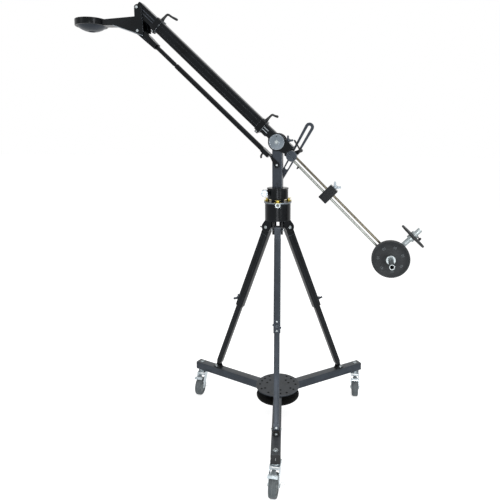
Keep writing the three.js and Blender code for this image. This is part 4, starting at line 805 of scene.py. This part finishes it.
# %% Wing knobs
def wing_knob(span, height, hub_radius, stem):
    """A cast wing knob standing up from z = 0, with its stem below."""
    half, thick = span / 2, span / 9
    outline = [(-hub_radius * 0.8, 1), (hub_radius * 0.8, 1), (half * 0.66, height * 0.42),
               *arc(half - thick, height * 0.86, thick, -30, 130, 6),
               (half * 0.42, height * 0.78), (0, height * 0.62), (-half * 0.42, height * 0.78),
               *arc(thick - half, height * 0.86, thick, 50, 210, 6), (-half * 0.66, height * 0.42)]
    wings = extruded(outline, -thick * 0.9, thick * 0.9, "Y")
    neck = turned([(0, -3), (stem, -3), (stem, 0.3), (hub_radius * 0.9, 0.4),
                   (hub_radius, 1.2), (hub_radius, height * 0.4), (hub_radius * 0.8, height * 0.62),
                   (0, height * 0.66)], 32)
    return joined(wings, neck)


for side in ARM_AZIMUTH:
    face = place(legs[side], (25, 0, -CLAMP_DROP), ("Y", 90), ("Z", 70))
    make("leg_wing_" + side, wing_knob(44, 17, 8, 2.9), knob_grey, "leg_clamp_" + side, face,
         bevel=1.4, instead="leg_knob_" + side)
    for along in (CLAMP_DROP - 21, CLAMP_DROP + 21):
        head = moved(socket_head(4.2, 2.6), (23, 0, -along), ("Y", 90))
        make("clamp_screw_%s_%d" % (side, along), head, bright, "leg_" + side, legs[side])
    foot_rivet = moved(socket_head(4.6, 3.4), (9.6, 0, 8 - LEG_SPAN), ("Y", 90))
    make("foot_rivet_" + side, foot_rivet, bright, "leg_slide_" + side, legs[side])
print("leg pieces:", piece_count["leg_front"], "each")

# %% [markdown]
# ## The leg housing
# The housing is a short drum with a thin flange on top and three pairs of ears below. On the real
# one the drum shows one soft upright highlight, which only a truly round drum can give. So the
# drum is turned with many sides, and the ears are plates with round backs set against it.

# %% Housing, ears and pivots
drum = turned([(STAGE_BORE, 986), (57.2, 986), (57.2, HOUSING_LOW), (58, HOUSING_LOW - 0.6),
               (65.4, HOUSING_LOW - 0.6), (HOUSING_RADIUS, HOUSING_LOW + 0.2),
               (HOUSING_RADIUS, 992.4), (67.2, 994), (70, 995), (70.5, 996),
               (70.5, HOUSING_TOP - 0.6), (69.9, HOUSING_TOP), (STAGE_BORE, HOUSING_TOP)], 128)
make("housing_drum", drum, black["even"], "tripod_head", smooth=25, instead="leg_housing")
for side in ARM_AZIMUTH:
    ear = [(23, 915), (23, LEG_TOP_HEIGHT),
           *arc(LEG_TOP_RADIUS, LEG_TOP_HEIGHT, 26, 198, 396, 18), (52, 915)]
    ears = joined(extruded(ear, 16.6, 26.6, "Y"), extruded(ear, -26.6, -16.6, "Y"))
    make("leg_ears_" + side, ears, black["even"], "tripod_head", arms[side], bevel=1.6)
    pin = moved(rod(4, -26.6, 26.6), (LEG_TOP_RADIUS, 0, LEG_TOP_HEIGHT), ("X", 90))
    heads = [moved(hex_head(13, 4.5), (LEG_TOP_RADIUS, -26.5 * turn / 90, LEG_TOP_HEIGHT),
                   ("X", turn)) for turn in (90, -90)]
    make("leg_pivot_" + side, joined(pin, *heads), bright, "tripod_head", arms[side])
    stud = rod(4, HOUSING_TOP - 1, STAGE_LOW - 0.3)
    make("level_stud_" + side, moved(stud, (LEVEL_RADIUS, 0, 0)), bright, "tripod_head", arms[side])
    lip = HOUSING_TOP + 0.3
    nut = [(4.6, lip), (19.4, lip), (20, lip + 0.6), (19.6, lip + 2), (10, lip + 2.6),
           (8.6, lip + 4), (8.6, lip + 10), (9.4, lip + 11.2), (15.4, lip + 11.8),
           (15.8, lip + 12.6), (15.2, lip + 13.4), (4.6, lip + 13.4)]
    make("level_wheel_" + side, moved(turned(nut, 96), (LEVEL_RADIUS, 0, 0)), brass,
         "level_screw_" + side, arms[side], smooth=50, instead="level_nut_" + side)
print("tripod head pieces:", piece_count["tripod_head"])

# %% Bubble level, side screw and spread lever
toward_view = place(hub, (0, 0, 0), ("Z", -79))
level_face = place(toward_view, (67, 0, 989.5), ("Y", 90))
bezel = turned([(0, 0), (12.6, 0), (13.2, 0.8), (13.2, 3), (12.4, 3.8), (8.6, 3.8), (8, 3.2),
                (8, 1.6), (0, 1.6)], 72)
make("bubble_bezel", bezel, bright, "tripod_head", level_face)
glass = turned([(0, 1.4), (7.8, 1.4), (7.8, 2.6), (5, 3.2), (0, 3.4)], 64)
make("bubble_glass", glass, wheel_core, "tripod_head", level_face)
eye = turned([(0, 3.3), (2.8, 3.2), (3.0, 3.6), (2.6, 4), (0, 4.1)], 40)
make("bubble_ring", eye, plastic, "tripod_head", level_face)
make("housing_screw", socket_head(5.5, 2.4), plastic, "tripod_head",
     place(toward_view, (66, 0, 921), ("Y", 90)))
spread = joined(swept([(17, 0, -11), (28, 0, -17), (36, 0, -22), (44, 0, -24)], [5.5, 4, 3, 3.4]),
                moved(turned([(0, 0), (7, 0), (7, 3), (5, 4), (0, 4)], 32), (20, 0, -13),
                      ("Y", 90)))
make("spread_lever", spread, plastic, "leg_left", legs["left"])
# Painted highlight: a thin light grey ring round the flange's top edge.
rim_highlight = turned([(69.8, 996), (70.7, 996), (70.9, 997), (70.9, HOUSING_TOP - 1.6),
                   (70.7, HOUSING_TOP - 0.6), (69.8, HOUSING_TOP - 0.6)], 128)
make("housing_rim_highlight", rim_highlight, disc_grey, "tripod_head", smooth=25)
print("tripod head pieces:", piece_count["tripod_head"])

# %% [markdown]
# ## The pan stage
# Above the brass nuts sits the panning stage, a split drum that two lugs pinch on the spindle.
# Its knob has a scalloped rim, which is easy to draw by letting the radius of a turned disc rise
# and fall as it goes round.

# %% Pan stage and knob
KNOB_HEIGHT = 1047
ring = turned([(STAGE_BORE, STAGE_LOW), (52.4, STAGE_LOW), (STAGE_RADIUS, STAGE_LOW + 1),
               (STAGE_RADIUS, 1064), (54.4, 1066), (55.4, 1067), (55.4, STAGE_TOP - 0.7),
               (54.7, STAGE_TOP), (STAGE_BORE, STAGE_TOP)], 128)
seat = rod(33, HOUSING_TOP + 0.3, STAGE_LOW + 0.3, 96, STAGE_BORE)
lugs = [moved(extruded(rounded(46, 26, 5), low, low + 11, "Y"), (56, 0, KNOB_HEIGHT))
        for low in (-13, 2)]
make("pan_drum", joined(ring, seat, *lugs), black["even"], "tripod_head", pan_lugs, bevel=0.5,
     smooth=25, instead="pan_stage")


def scalloped(radius, height, lobes, depth, sides=120):
    """A disc with soft edges whose rim is scalloped."""
    shape = turned([(0, 0), (radius - 1.5, 0), (radius, 1.5), (radius, height - 1.5),
                    (radius - 1.5, height), (radius * 0.72, height), (radius * 0.68, height - 0.8),
                    (0, height - 0.8)], sides)
    for vert in shape.verts:
        reach = math.hypot(vert.co.x, vert.co.y)
        if reach > radius * 0.8:
            wave = math.cos(lobes * math.atan2(vert.co.y, vert.co.x)) ** 8
            vert.co.xy *= (reach - depth * wave) / reach
    return shape


grip = joined(moved(scalloped(18, 14, 5, 2.2), (0, 31.3, 0), ("X", -90)),
              moved(turned([(0, 0), (8, 0), (7, 6), (7, 12), (9, 18.2), (0, 18.2)], 40),
                    (0, 13.3, 0), ("X", -90)),
              moved(rod(4, -27, 1), (0, 13.3, 0), ("X", -90)))
make("pan_grip", grip, silver, "pan_screw", place(pan_lugs, (67, 0, KNOB_HEIGHT)), smooth=25,
     instead="pan_knob")
print("pan stage and knob made")

# %% [markdown]
# ## The fulcrum
# The boom turns on one axle through the post's head. In front of it sits a round drag disc whose
# face was turned, so it carries fine rings and reads lighter than all around it. A bright cap
# closes the axle in the disc's middle.

# %% Drag disc, axle and pivot caps
disc_face = place(fulcrum, (0, -27.9, 0), ("X", 90))
disc = [(8.5, 0), (38.7, 0), (39.5, 0.8), (39.5, 4.5), (38, 6), (35.6, 6), (34.6, 4.7),
        (14, 4.7), (13, 6), (8.5, 6)]
make("drag_disc_face", turned(disc, 128), disc_grey, "drag_disc", disc_face, smooth=25,
     instead="fulcrum_disc")
make("disc_index_screw", moved(socket_head(3, 1.6), (0, 29, 4.7)), plastic, "drag_disc", disc_face)
axle = joined(rod(8, -27.9, 34.2, 48),
              turned([(0, 34.2), (8.4, 34.2), (9, 34.9), (9, 37.6), (7.4, 39.2), (3.4, 39.2),
                      (3.4, 36.6), (0, 36.4)], 48, hexes=(5, 6)),
              turned([(0, -32.9), (11.2, -32.9), (12, -32), (12, -27.9), (0, -27.9)], 48))
make("axle_and_cap", axle, bright, "post", place(fulcrum, (0, 0, 0), ("X", 90)),
     instead="fulcrum_axle")
print("post pieces:", piece_count["post"])


def cap(name, body, at, x, y, z, radius, toward):
    """Makes a bright round cap over a pivot, looking toward the near side or the far one."""
    shape = turned([(0, 0), (radius, 0), (radius, 1.4), (radius * 0.8, 2.4), (radius * 0.45, 2.6),
                    (radius * 0.4, 1.2), (0, 1.0)], 40, hexes=(4, 5))
    make(name, moved(shape, (x, y, z), ("X", toward)), bright, body, at)


for word, sign in FLANKS.items():
    turn = -90 * sign
    cap("rod_pivot_cap_" + word, "rod_rear", control_rod, 0, sign * 28.6, 0, 5, turn)
    cap("head_bolt_upper_" + word, "boom_front", boom, -BOOM_REACH, sign * 32.1, 0, 7, turn)
    cap("head_bolt_lower_" + word, "camera_head", camera_head, 0, sign * 32.1, -LINK_SPACING, 7,
        turn)
    screw = moved(socket_head(3.4, 1.8), (0, sign * 21, STAGE_TOP + 22), ("X", turn))
    make("post_screw_" + word, screw, plastic, "post")
print("caps made on", [b for b in ("rod_rear", "boom_front", "camera_head") if piece_count.get(b)])

# %% [markdown]
# ## The boom's middle tube
# The large outer tube is what the eye follows: a rounded extrusion with a long soft highlight
# between two shallow flutes. It slides on the rear tube and carries the front one, and a split
# collar at each end pinches them. Its corners have several steps so that the highlight is smooth.

# %% Outer tube and collars
def on_flanks(*sizes):
    """A grooved outline with its axes swapped, so that the grooves are on the tube's flanks."""
    return [(b, a) for a, b in grooved(*sizes)]


TUBE_HEIGHT, TUBE_WIDTH, FLUTES = 60.5, 52, (-12, 12)
tube = extruded(on_flanks(TUBE_HEIGHT, TUBE_WIDTH, 8, FLUTES, 1.6, 5.0, 8), COLLARS["front"],
                -100, "X",
                hole=on_flanks(TUBE_HEIGHT - 6, TUBE_WIDTH - 6, 5, FLUTES, 0.0, 5.0, 8))
parts = [tube]
for x0 in COLLARS.values():
    middle = x0 + COLLAR_LENGTH / 2
    parts.append(extruded(rounded(60.5, 69, 11, 8), x0, x0 + COLLAR_LENGTH, "X",
                          hole=rounded(51.8, 60.3, 7, 8)))
    for y in (-13, 0.9):
        parts.append(extruded([(middle - 8.5, -45.2), (middle + 8.5, -45.2),
                               (middle + 8.5, -31), (middle - 8.5, -31)], y, y + 12.1, "Y"))
    boss = turned([(0, 30), (9.6, 30), (9, 34), (9, 39.6), (8.4, 40.2), (0, 40.2)], 48)
    parts.append(moved(boss, (middle, 0, 0)))
make("boom_sleeve", moved(joined(*parts), (0, 0, TUBE_LIFT)), black["x"], "boom_middle", boom,
     bevel=1.2, instead="boom_outer_tube")
for word, x0 in COLLARS.items():
    middle = x0 + COLLAR_LENGTH / 2
    # Painted highlight: a light grey ring on each end face of a collar.
    for place_on_collar, x in (("front", x0 - 0.5), ("back", x0 + COLLAR_LENGTH - 1.1)):
        face = extruded(rounded(57, 65.5, 9.5, 8), x, x + 1.6, "X",
                        hole=rounded(53, 61.5, 7.5, 8))
        make("collar_end_highlight_%s_%s" % (word, place_on_collar), moved(face, (0, 0, TUBE_LIFT)),
             disc_grey, "boom_middle", boom)
    screw = joined(moved(socket_head(4.6, 4), (middle, -13, -34.5), ("X", 90)),
                   moved(hex_head(9, 4), (middle, 13, -34.5), ("X", -90)))
    make("collar_screw_" + word, screw, bright, "boom_middle", boom)
    for flank, sign in FLANKS.items():
        dot = moved(socket_head(3.4, 2), (middle, 15 * sign, 36.5))
        make("collar_dot_%s_%s" % (word, flank), dot, plastic, "boom_middle", boom)
print("boom middle pieces:", piece_count["boom_middle"])

# %% Highlight strips along the rear and front tubes
def rail_pair(side_y, inner, outer, start, stop):
    """Two flat strips on one flank of the boom, from start to stop along it."""
    low, high = sorted((side_y * inner, side_y * outer))
    strips = [extruded([(low, level - 1.9), (high, level - 1.9), (high, level + 1.9),
                        (low, level + 1.9)], start, stop, "X") for level in (-6.5, 6.5)]
    return moved(joined(*strips), (0, 0, TUBE_LIFT))


# Painted highlights: pale strips in the rear tube's flutes and slate strips in the front tube's.
for word, y in FLANKS.items():
    for name, metal, body, span in (
            ("slide_rails_", rail_highlight_metal, "boom_rear", (20.7, 22.1, -468, -60)),
            ("front_rail_highlights_", slate["x"], "boom_front", (21, 22.8, -962, -620))):
        make(name + word, rail_pair(y, *span), metal, body, boom, bevel=0.3)
print("boom rear pieces:", piece_count["boom_rear"])

# %% [markdown]
# ## Clamp levers
# The two boom clamps have black moulded levers that rise from a ratchet hub and sweep over like a
# goose neck, and the control rod has a shorter stub. They are swept along a smooth route, with a
# radius at each point, and the long ones are a little flattened, as moulded levers are.

# %% Boom and rod levers
def lever(reach, rise):
    """A swept clamp lever standing up from z = 0, its arm reaching along +X."""
    foot = turned([(0, 0.3), (7.4, 0.3), (8, 1.2), (7.6, 7), (6, 12), (3, 14.5), (0, 15)], 40)
    top = 13
    route = [(0, 0, 6), (reach * 0.02, 0, top + rise * 0.3),
             (reach * 0.05, 0, top + rise * 0.62), (reach * 0.16, 0, top + rise * 0.8),
             (reach * 0.5, 0, top + rise * 0.92), (reach * 0.86, 0, top + rise * 1.12),
             (reach, 0, top + rise * 1.2)]
    return joined(foot, swept(route, [7, 6, 5.8, 6, 5.8, 7.2, 5.2], 18, flat=0.86))


LEVER_SEAT = TUBE_LIFT + TUBE_HEIGHT / 2 + 10
for word, reach in (("rear", 33), ("front", 62)):
    foot_of_lever = place(boom, (COLLARS[word] + COLLAR_LENGTH / 2, 0, LEVER_SEAT))
    make("lever_" + word, lever(reach, 30), plastic, word + "_lever", foot_of_lever, bevel=0.4,
         instead=word + "_clamp_lever")
stub = joined(swept([(0, 0, 2), (1, 0, 12), (5, 0, 21), (12, 0, 27)], [5.6, 4.8, 5.4, 4.6], 18),
              turned([(0, 0.3), (6, 0.3), (6.4, 1.2), (6, 6), (0, 8)], 32))
make("lever_rod", stub, plastic, "rod_lever",
     place(control_rod, (-97, 0, TUBE_LIFT - 11.35), ("X", 180)), bevel=0.3,
     instead="rod_clamp_lever")
print("levers made:", [b for b in piece_count if b.endswith("_lever")])

# %% [markdown]
# ## The camera bowl
# At the boom's front a level bracket ends in an open bowl that takes a camera head's half ball.
# Its black rim stands upright, and below it hangs a thin slate cup that rounds in to a small
# hole. A web behind the bracket finishes its outline, and a light strip along its lower flange
# paints a highlight there.

# %% Bowl rim, cup and web
bowl = place(camera_head, (-BOWL_REACH, 0, 0))
ring = [(74.4, -46), (82, -46), (83, -47), (83, -75), (82, -77.4), (79.5, -78.4), (73.6, -78.4),
        (73.6, -47)]
make("bowl_rim", turned(ring, 160), black["even"], "camera_head", bowl,
     smooth=28, instead="bowl_ring")
liner = [(73.5, -50), (73.2, -76), (66, -84), (54, -92), (38, -99), (23, -103), (19, -103),
         (18, -101), (22, -100.6), (36, -96.8), (52, -90), (64, -82), (71, -75), (72, -50)]
make("bowl_liner", turned(liner, 160), slate["even"], "camera_head", bowl, smooth=40)
for turn in (40, 140, 220, 320):
    place_on_rim = place(bowl, (0, 0, 0), ("Z", turn))
    make("bowl_screw_%d" % turn, moved(socket_head(2.6, 1.2), (78.4, 0, -46.4)), plastic,
         "camera_head", place_on_rim)
web = extruded([(18, -118), (46, -122), (46, -24), (18, -24)], 28.3, 30.6, "Y")
make("bracket_far_web", web, black["even"], "camera_head", camera_head, bevel=0.6)
# Painted highlight: a thin light grey strip along the bracket's lower flange.
flange = extruded([(-138, -82.4), (28, -141.4), (28, -138.6), (-138, -79.6)], -28.9, -27.7, "Y")
make("bracket_edge_highlight", flange, disc_grey, "camera_head", camera_head)
print("camera head pieces:", piece_count["camera_head"])

# %% [markdown]
# ## The control rod
# Below the boom runs a thinner rod that keeps the camera level. Its long sleeve has well rounded
# corners, so it shows a dark, a light and a dark stripe. A neck parts the sleeve from its front
# piece, and at the camera end a deeper block with sloping sides goes between the bracket's plates.

# %% Sleeve, neck and end block
shaft = joined(extruded(rounded(24.6, 24.6, 7, 8), -728, -112.3),
               extruded(rounded(15, 15, 5, 8), -740, -727),
               extruded(rounded(21, 21, 6, 8), -869.8, -739))
make("rod_sleeve_round", moved(shaft, (0, 0, TUBE_LIFT)), black["x"], "rod_middle", control_rod,
     bevel=0.6, instead="control_rod_sleeve")
end_outline = [(-1000, -12), (-984, -16), (-925, -13), (-870, -9.6), (-870, 16.6), (-925, 20.5),
               (-975, 19), (-996, 12)]
make("rod_end_block", extruded(end_outline, -22.4, 22.4, "Y"), black["x"], "rod_front", control_rod,
     bevel=1.2)
print("control rod pieces:", piece_count["rod_middle"], piece_count["rod_front"])

# %% [markdown]
# ## Tail, rods and their knobs
# Two slim steel rods run back from the tail block. Drawn steel mirrors long dark and light
# stripes, so its grain is stretched along it, and painted shade darkens its colour toward its
# edges. The upper rod is painted darker and browner as shaded, the lower one paler as lit. A slate
# wing knob holds the rods and a silver one the trim block.

# %% Rods and wing knobs
for word, level in (("upper", 10.5), ("lower", -10.5)):
    bar = turned([(0, -88), (5.2, -88), (6, -87.2), (6, WEIGHT_END - 0.8),
                  (5.2, WEIGHT_END), (0, WEIGHT_END)], 48)
    make("steel_rod_" + word, bar, drawn_steel[word], "weight_frame",
         place(weight_rods, (0, 0, level), ("Y", 90)), instead="counterweight_rod_" + word)
make("tail_wing", wing_knob(40, 22, 10, 3.8), knob_grey, "tail_screw",
     place(boom, (34, 0, 38), ("Z", 25)), bevel=1.2, instead="tail_knob")
make("trim_wing", wing_knob(46, 25, 10, 3.8), silver, "trim_screw",
     place(weight_rods, (210, 0, 41), ("Z", 15)), bevel=1.2, instead="trim_knob")
pin = joined(moved(rod(5, -12, 12, 32), (163, 0, -22), ("X", 90)),
             moved(rod(3, -16, 0), (163, 0, -16)))
make("rod_stop_pin", pin, plastic, "weight_frame", boom, bevel=0.8)
print("weight frame pieces:", piece_count["weight_frame"])

# %% [markdown]
# ## The weight end
# A block joins the rods' ends and carries two hollow bars, one across and one upright. Each holds
# an iron plate between turned collars. The plates are cast, so they get a raised rim, a dished
# face, a hub boss, soft corners, and plain raised numerals as such plates have.

# %% Bars and collars
def hollow_bar(low, high):
    """A hollow inch bar with a softened end."""
    return turned([(9.5, low), (12.7, low), (12.7, high - 0.8), (11.9, high), (9.9, high),
                   (9.5, high - 0.6)], 64)


def collar(low, high, radius):
    """A turned collar round a bar."""
    return turned([(12.9, low), (radius - 1.2, low), (radius, low + 1.2), (radius, high - 1.2),
                   (radius - 1.2, high), (12.9, high)], 72)


across = place(weight_rods, (WEIGHT_END, 0, 0), ("X", 90))
upward = place(weight_rods, (WEIGHT_END, 0, 0))
end_block = moved(extruded(rounded(36, 50, 5), -20, 20, "Y"), (WEIGHT_END, 0, 0))
make("bar_block", end_block, bright, "weight_frame", weight_rods, bevel=1.2,
     instead="weight_bar_block")
for name, shape, body, at in (
        ("cross_bar", hollow_bar(19, 200), "weight_frame", across),
        ("upright_bar", hollow_bar(24, 198), "weight_frame", upward),
        ("large_collar", collar(63.4, 78, 23), "weight_large", across),
        ("large_back_collar", collar(26, 37.6, 19), "weight_large", across),
        ("small_collar_low", collar(127, 141.6, 20), "weight_small", upward),
        ("small_collar_high", collar(156.4, 169, 20), "weight_small", upward)):
    make(name, shape, bright, body, at)
screw = moved(turned([(0, 0), (3, 0), (3, 8), (7.5, 9), (8, 10), (8, 17), (7, 18), (0, 18)], 32),
              (19, 0, 163), ("Y", 90))
make("small_collar_screw", screw, plastic, "weight_small", upward)
print("weight frame pieces:", piece_count["weight_frame"])

# %% Cast plates and numerals
def numerals(text, size, radius, turn, thick):
    """Raised numerals set round a circle on z = 0, facing up."""
    curve = bpy.data.curves.new("numerals", "FONT")
    curve.body = text
    curve.size = size
    curve.extrude = thick
    curve.bevel_depth = 0.25
    curve.resolution_u = 3
    curve.align_x = "CENTER"
    writer = new_object("numerals", curve)
    bpy.context.view_layer.update()
    shape = bmesh.new()
    shape.from_mesh(writer.to_mesh())
    bpy.data.objects.remove(writer)
    bpy.data.curves.remove(curve)
    return moved(moved(shape, (0, -radius, 0)), (0, 0, 0), ("Z", turn))


def cast_plate(radius, thick, boss, rim, dish):
    """A cast plate with a hub boss, a dished face and a raised rim, the same on both sides."""
    edge, top = radius - rim, thick / 2
    half = [(13.2, top), (boss - 1, top), (boss, top - 0.6), (boss + dish, top - dish),
            (edge - dish, top - dish), (edge, top - 0.6), (edge + 1, top), (radius - 3, top),
            (radius - 0.9, top - 0.9), (radius, top - 3)]
    return turned(mirrored(half), 160)


# Per plate: where, its radius, thickness, boss, rim and dish, then text, size, circle, relief,
# height of the numerals and the turns at which they stand.
PLATES = {
    "large": (place(weight_rods, (WEIGHT_END, -50.5, 0), ("X", 90)), (92.5, 25, 30, 8, 3.2),
              ("10", 17, 66), 0.8, 9.5, [360 * i / 7 for i in range(7)]),
    "small": (place(weight_rods, (WEIGHT_END, 0, 149), ("X", -2.5)), (73, 11, 22, 6, 1.6),
              ("5", 18, 54), 0.4, 3.9, [60, 180, 300]),
}
for word, (at, sizes, writing, relief, height, turns) in PLATES.items():
    body = "weight_" + word
    make("iron_plate_" + word, cast_plate(*sizes), iron, body, at, smooth=45,
         instead=word + "_plate")
    marks = [moved(numerals(*writing, turn, relief), (0, 0, height)) for turn in turns]
    make("plate_numerals_" + word, joined(*marks), rubbed_iron, body, at, smooth=40)
print("plates made:", piece_count["weight_large"], piece_count["weight_small"])

# %% [markdown]
# ## The elevation lock
# A slotted bar swings beside the boom, and a round knob in front of the rods pinches the clamp
# that slides on it. The knob has one groove across its face. The bar is a plate with round ends
# and a long slot, drawn as two loops with the same number of points so that they join as quads.

# %% Lock knob, lever and slotted bar
def link_outline(x0, r0, x1, r1, steps=14):
    """A belt round two circles on the X axis, with as many points whatever the circles."""
    open_by = math.degrees(math.acos((r0 - r1) / (x1 - x0)))
    return (arc(x0, 0, r0, open_by, 360 - open_by, steps)
            + arc(x1, 0, r1, -open_by, open_by, steps))


LOCK_ALONG, GROOVE_WIDTH, GROOVE_FLOOR = 102, 5.2, 8.6
knob = turned([(0, 0), (12, 0), (23, 4), (26.2, 4.2), (27, 5), (27, 10.6), (26, 12.2), (24.4, 13),
               (0, 13)], 120)
cutter = block((-40, 40), (-GROOVE_WIDTH / 2, GROOVE_WIDTH / 2), (GROOVE_FLOOR, 20))
things = []
for label, shape in (("knob_before", knob), ("groove", cutter)):
    things.append(new_object(label, bpy.data.meshes.new(label)))
    shape.to_mesh(things[-1].data)
    shape.free()
cutting = things[0].modifiers.new("cut", "BOOLEAN")
cutting.operation = "DIFFERENCE"
cutting.object = things[1]
bpy.context.view_layer.update()
cut_knob = bmesh.new()
cut_knob.from_mesh(things[0].evaluated_get(bpy.context.evaluated_depsgraph_get()).to_mesh())
for thing in things:
    bpy.data.meshes.remove(thing.data)
make("lock_knob_grooved", joined(cut_knob, rod(5, -14, 0.2)), knob_grey, "lock_screw",
     place(boom, (LOCK_ALONG, -22.3, 0), ("X", 90)), smooth=25,
     instead="lock_knob")
HANDLE_REACH, HANDLE_TURN, BAR_FACE = 62, math.radians(163), 33
tip = (HANDLE_REACH * math.cos(HANDLE_TURN), HANDLE_REACH * math.sin(HANDLE_TURN))
near = BAR_FACE - 12.6
handle = joined(
    moved(turned([(0, 0), (9.4, 0), (9.4, 9), (8, 11.4), (0, 12)], 40), (0, near, 0), ("X", 90)),
    swept([(0, near - 6, 0), (tip[0] / 2, near - 10, tip[1] / 2),
           (tip[0] * 0.84, near - 13, tip[1] * 0.84), (tip[0], near - 14, tip[1])],
          [4.6, 4, 5, 3.6], 18))
make("lock_handle_bent", handle, plastic, "lock_handle", place(boom, (113, 0, 46)), bevel=0.4,
     instead="lock_lever")
STRUT_BACK, STRUT_DROP = 6, 213
lock_x = LOCK_ALONG * math.cos(math.radians(BOOM_ELEVATION)) + STRUT_BACK
lock_z = STRUT_DROP - LOCK_ALONG * math.sin(math.radians(BOOM_ELEVATION))
bar_rise = math.degrees(math.atan2(lock_z, lock_x))
strut = place(hub, (-STRUT_BACK, 0, FULCRUM_HEIGHT - STRUT_DROP), ("Y", -bar_rise))
bar = extruded(link_outline(0, 12, 329, 23), BAR_FACE, BAR_FACE + 6, "Y",
               hole=link_outline(93, 8, 328, 7.99))
make("slotted_bar", bar, slate["x"], "lock_strut", strut, bevel=0.8, instead="lock_bar")
print("lock made; bar raised by %.1f degrees" % bar_rise)

# %% [markdown]
# ## Floor, light and backdrop
# The picture is a product shot on white, with hardly a shadow. A wide pale floor sends light back
# up, and its shader lifts it to white where the camera sees it, also in metal or through glass.
# Soft lamps stand in front, at the left, at the right and above, at a level where a colour shows
# about as it is written. The world is white to the camera too, and dimmer as a light.

# %% Floor
def seen_by_camera(tree):
    """1 on rays from the camera, direct, mirrored or through glass, and 0 on rays of light."""
    rays = add(tree, "LightPath").outputs
    return math_node(tree, "MAXIMUM", rays["Is Camera Ray"], math_node(
        tree, "MAXIMUM", rays["Is Glossy Ray"], rays["Is Transmission Ray"]))


FLOOR_LEVEL, FLOOR_LIFT = -0.1877, 0.62
floor_shape = bmesh.new()
bmesh.ops.create_grid(floor_shape, x_segments=8, y_segments=8, size=30)
floor_mesh = bpy.data.meshes.new("studio_floor")
floor_shape.to_mesh(floor_mesh)
floor_shape.free()
floor = new_object("studio_floor", floor_mesh)
floor.location.z = FLOOR_LEVEL
paper = bpy.data.materials.new("pale_floor")
paper.use_nodes = True
tree = paper.node_tree
shader = tree.nodes["Principled BSDF"]
where = add(tree, "TexCoord").outputs["Object"]
tooth = noise(tree, where, 300.0, 3.0)
tree.links.new(mix_colour(tree, tooth, ink("f1f2f2"), ink("f7f7f7")),
               shader.inputs["Base Color"])
shader.inputs["Roughness"].default_value = 0.9
shader.inputs["Specular IOR Level"].default_value = 0.1
shader.inputs["Emission Color"].default_value = (1, 1, 1, 1)
tree.links.new(math_node(tree, "MULTIPLY", seen_by_camera(tree), FLOOR_LIFT),
               shader.inputs["Emission Strength"])
floor_mesh.materials.append(paper)
print("floor at", FLOOR_LEVEL)

# %% Lamps
SUBJECT = Vector((0.0, 0.0, 0.95))


def soft_lamp(name, spot, size, power):
    """A rectangular lamp of that size in metres and power in watts, turned to the crane."""
    data = bpy.data.lights.new(name, "AREA")
    data.shape = "RECTANGLE"
    data.size, data.size_y = size
    data.energy = power
    lamp = new_object(name, data)
    lamp.location = spot
    lamp.rotation_euler = (SUBJECT - Vector(spot)).to_track_quat("-Z", "Y").to_euler()


soft_lamp("lamp_front", (0.55, -4.6, 0.5), (0.8, 1.3), 36)
soft_lamp("lamp_left", (-3.0, -2.6, 2.4), (0.9, 2.4), 14)
soft_lamp("lamp_right", (2.6, -3.2, 1.9), (0.7, 2.8), 62)
soft_lamp("lamp_high", (0.43, -2.7, 3.7), (1.6, 1.0), 30)
soft_lamp("lamp_top", (0.2, 0.6, 4.6), (3.0, 3.0), 40)

# %% World
LIGHT_LEVEL = 0.42
world = bpy.data.worlds.new("white_studio")
bpy.context.scene.world = world
world.use_nodes = True
tree = world.node_tree
level = add(tree, "MapRange", Value=seen_by_camera(tree), To_Min=LIGHT_LEVEL,
            To_Max=1.0)
tree.nodes["Background"].inputs["Color"].default_value = (1, 1, 1, 1)
tree.links.new(level.outputs[0], tree.nodes["Background"].inputs["Strength"])
bpy.context.scene.view_settings.view_transform = "Standard"
print("world ready:", world.name)
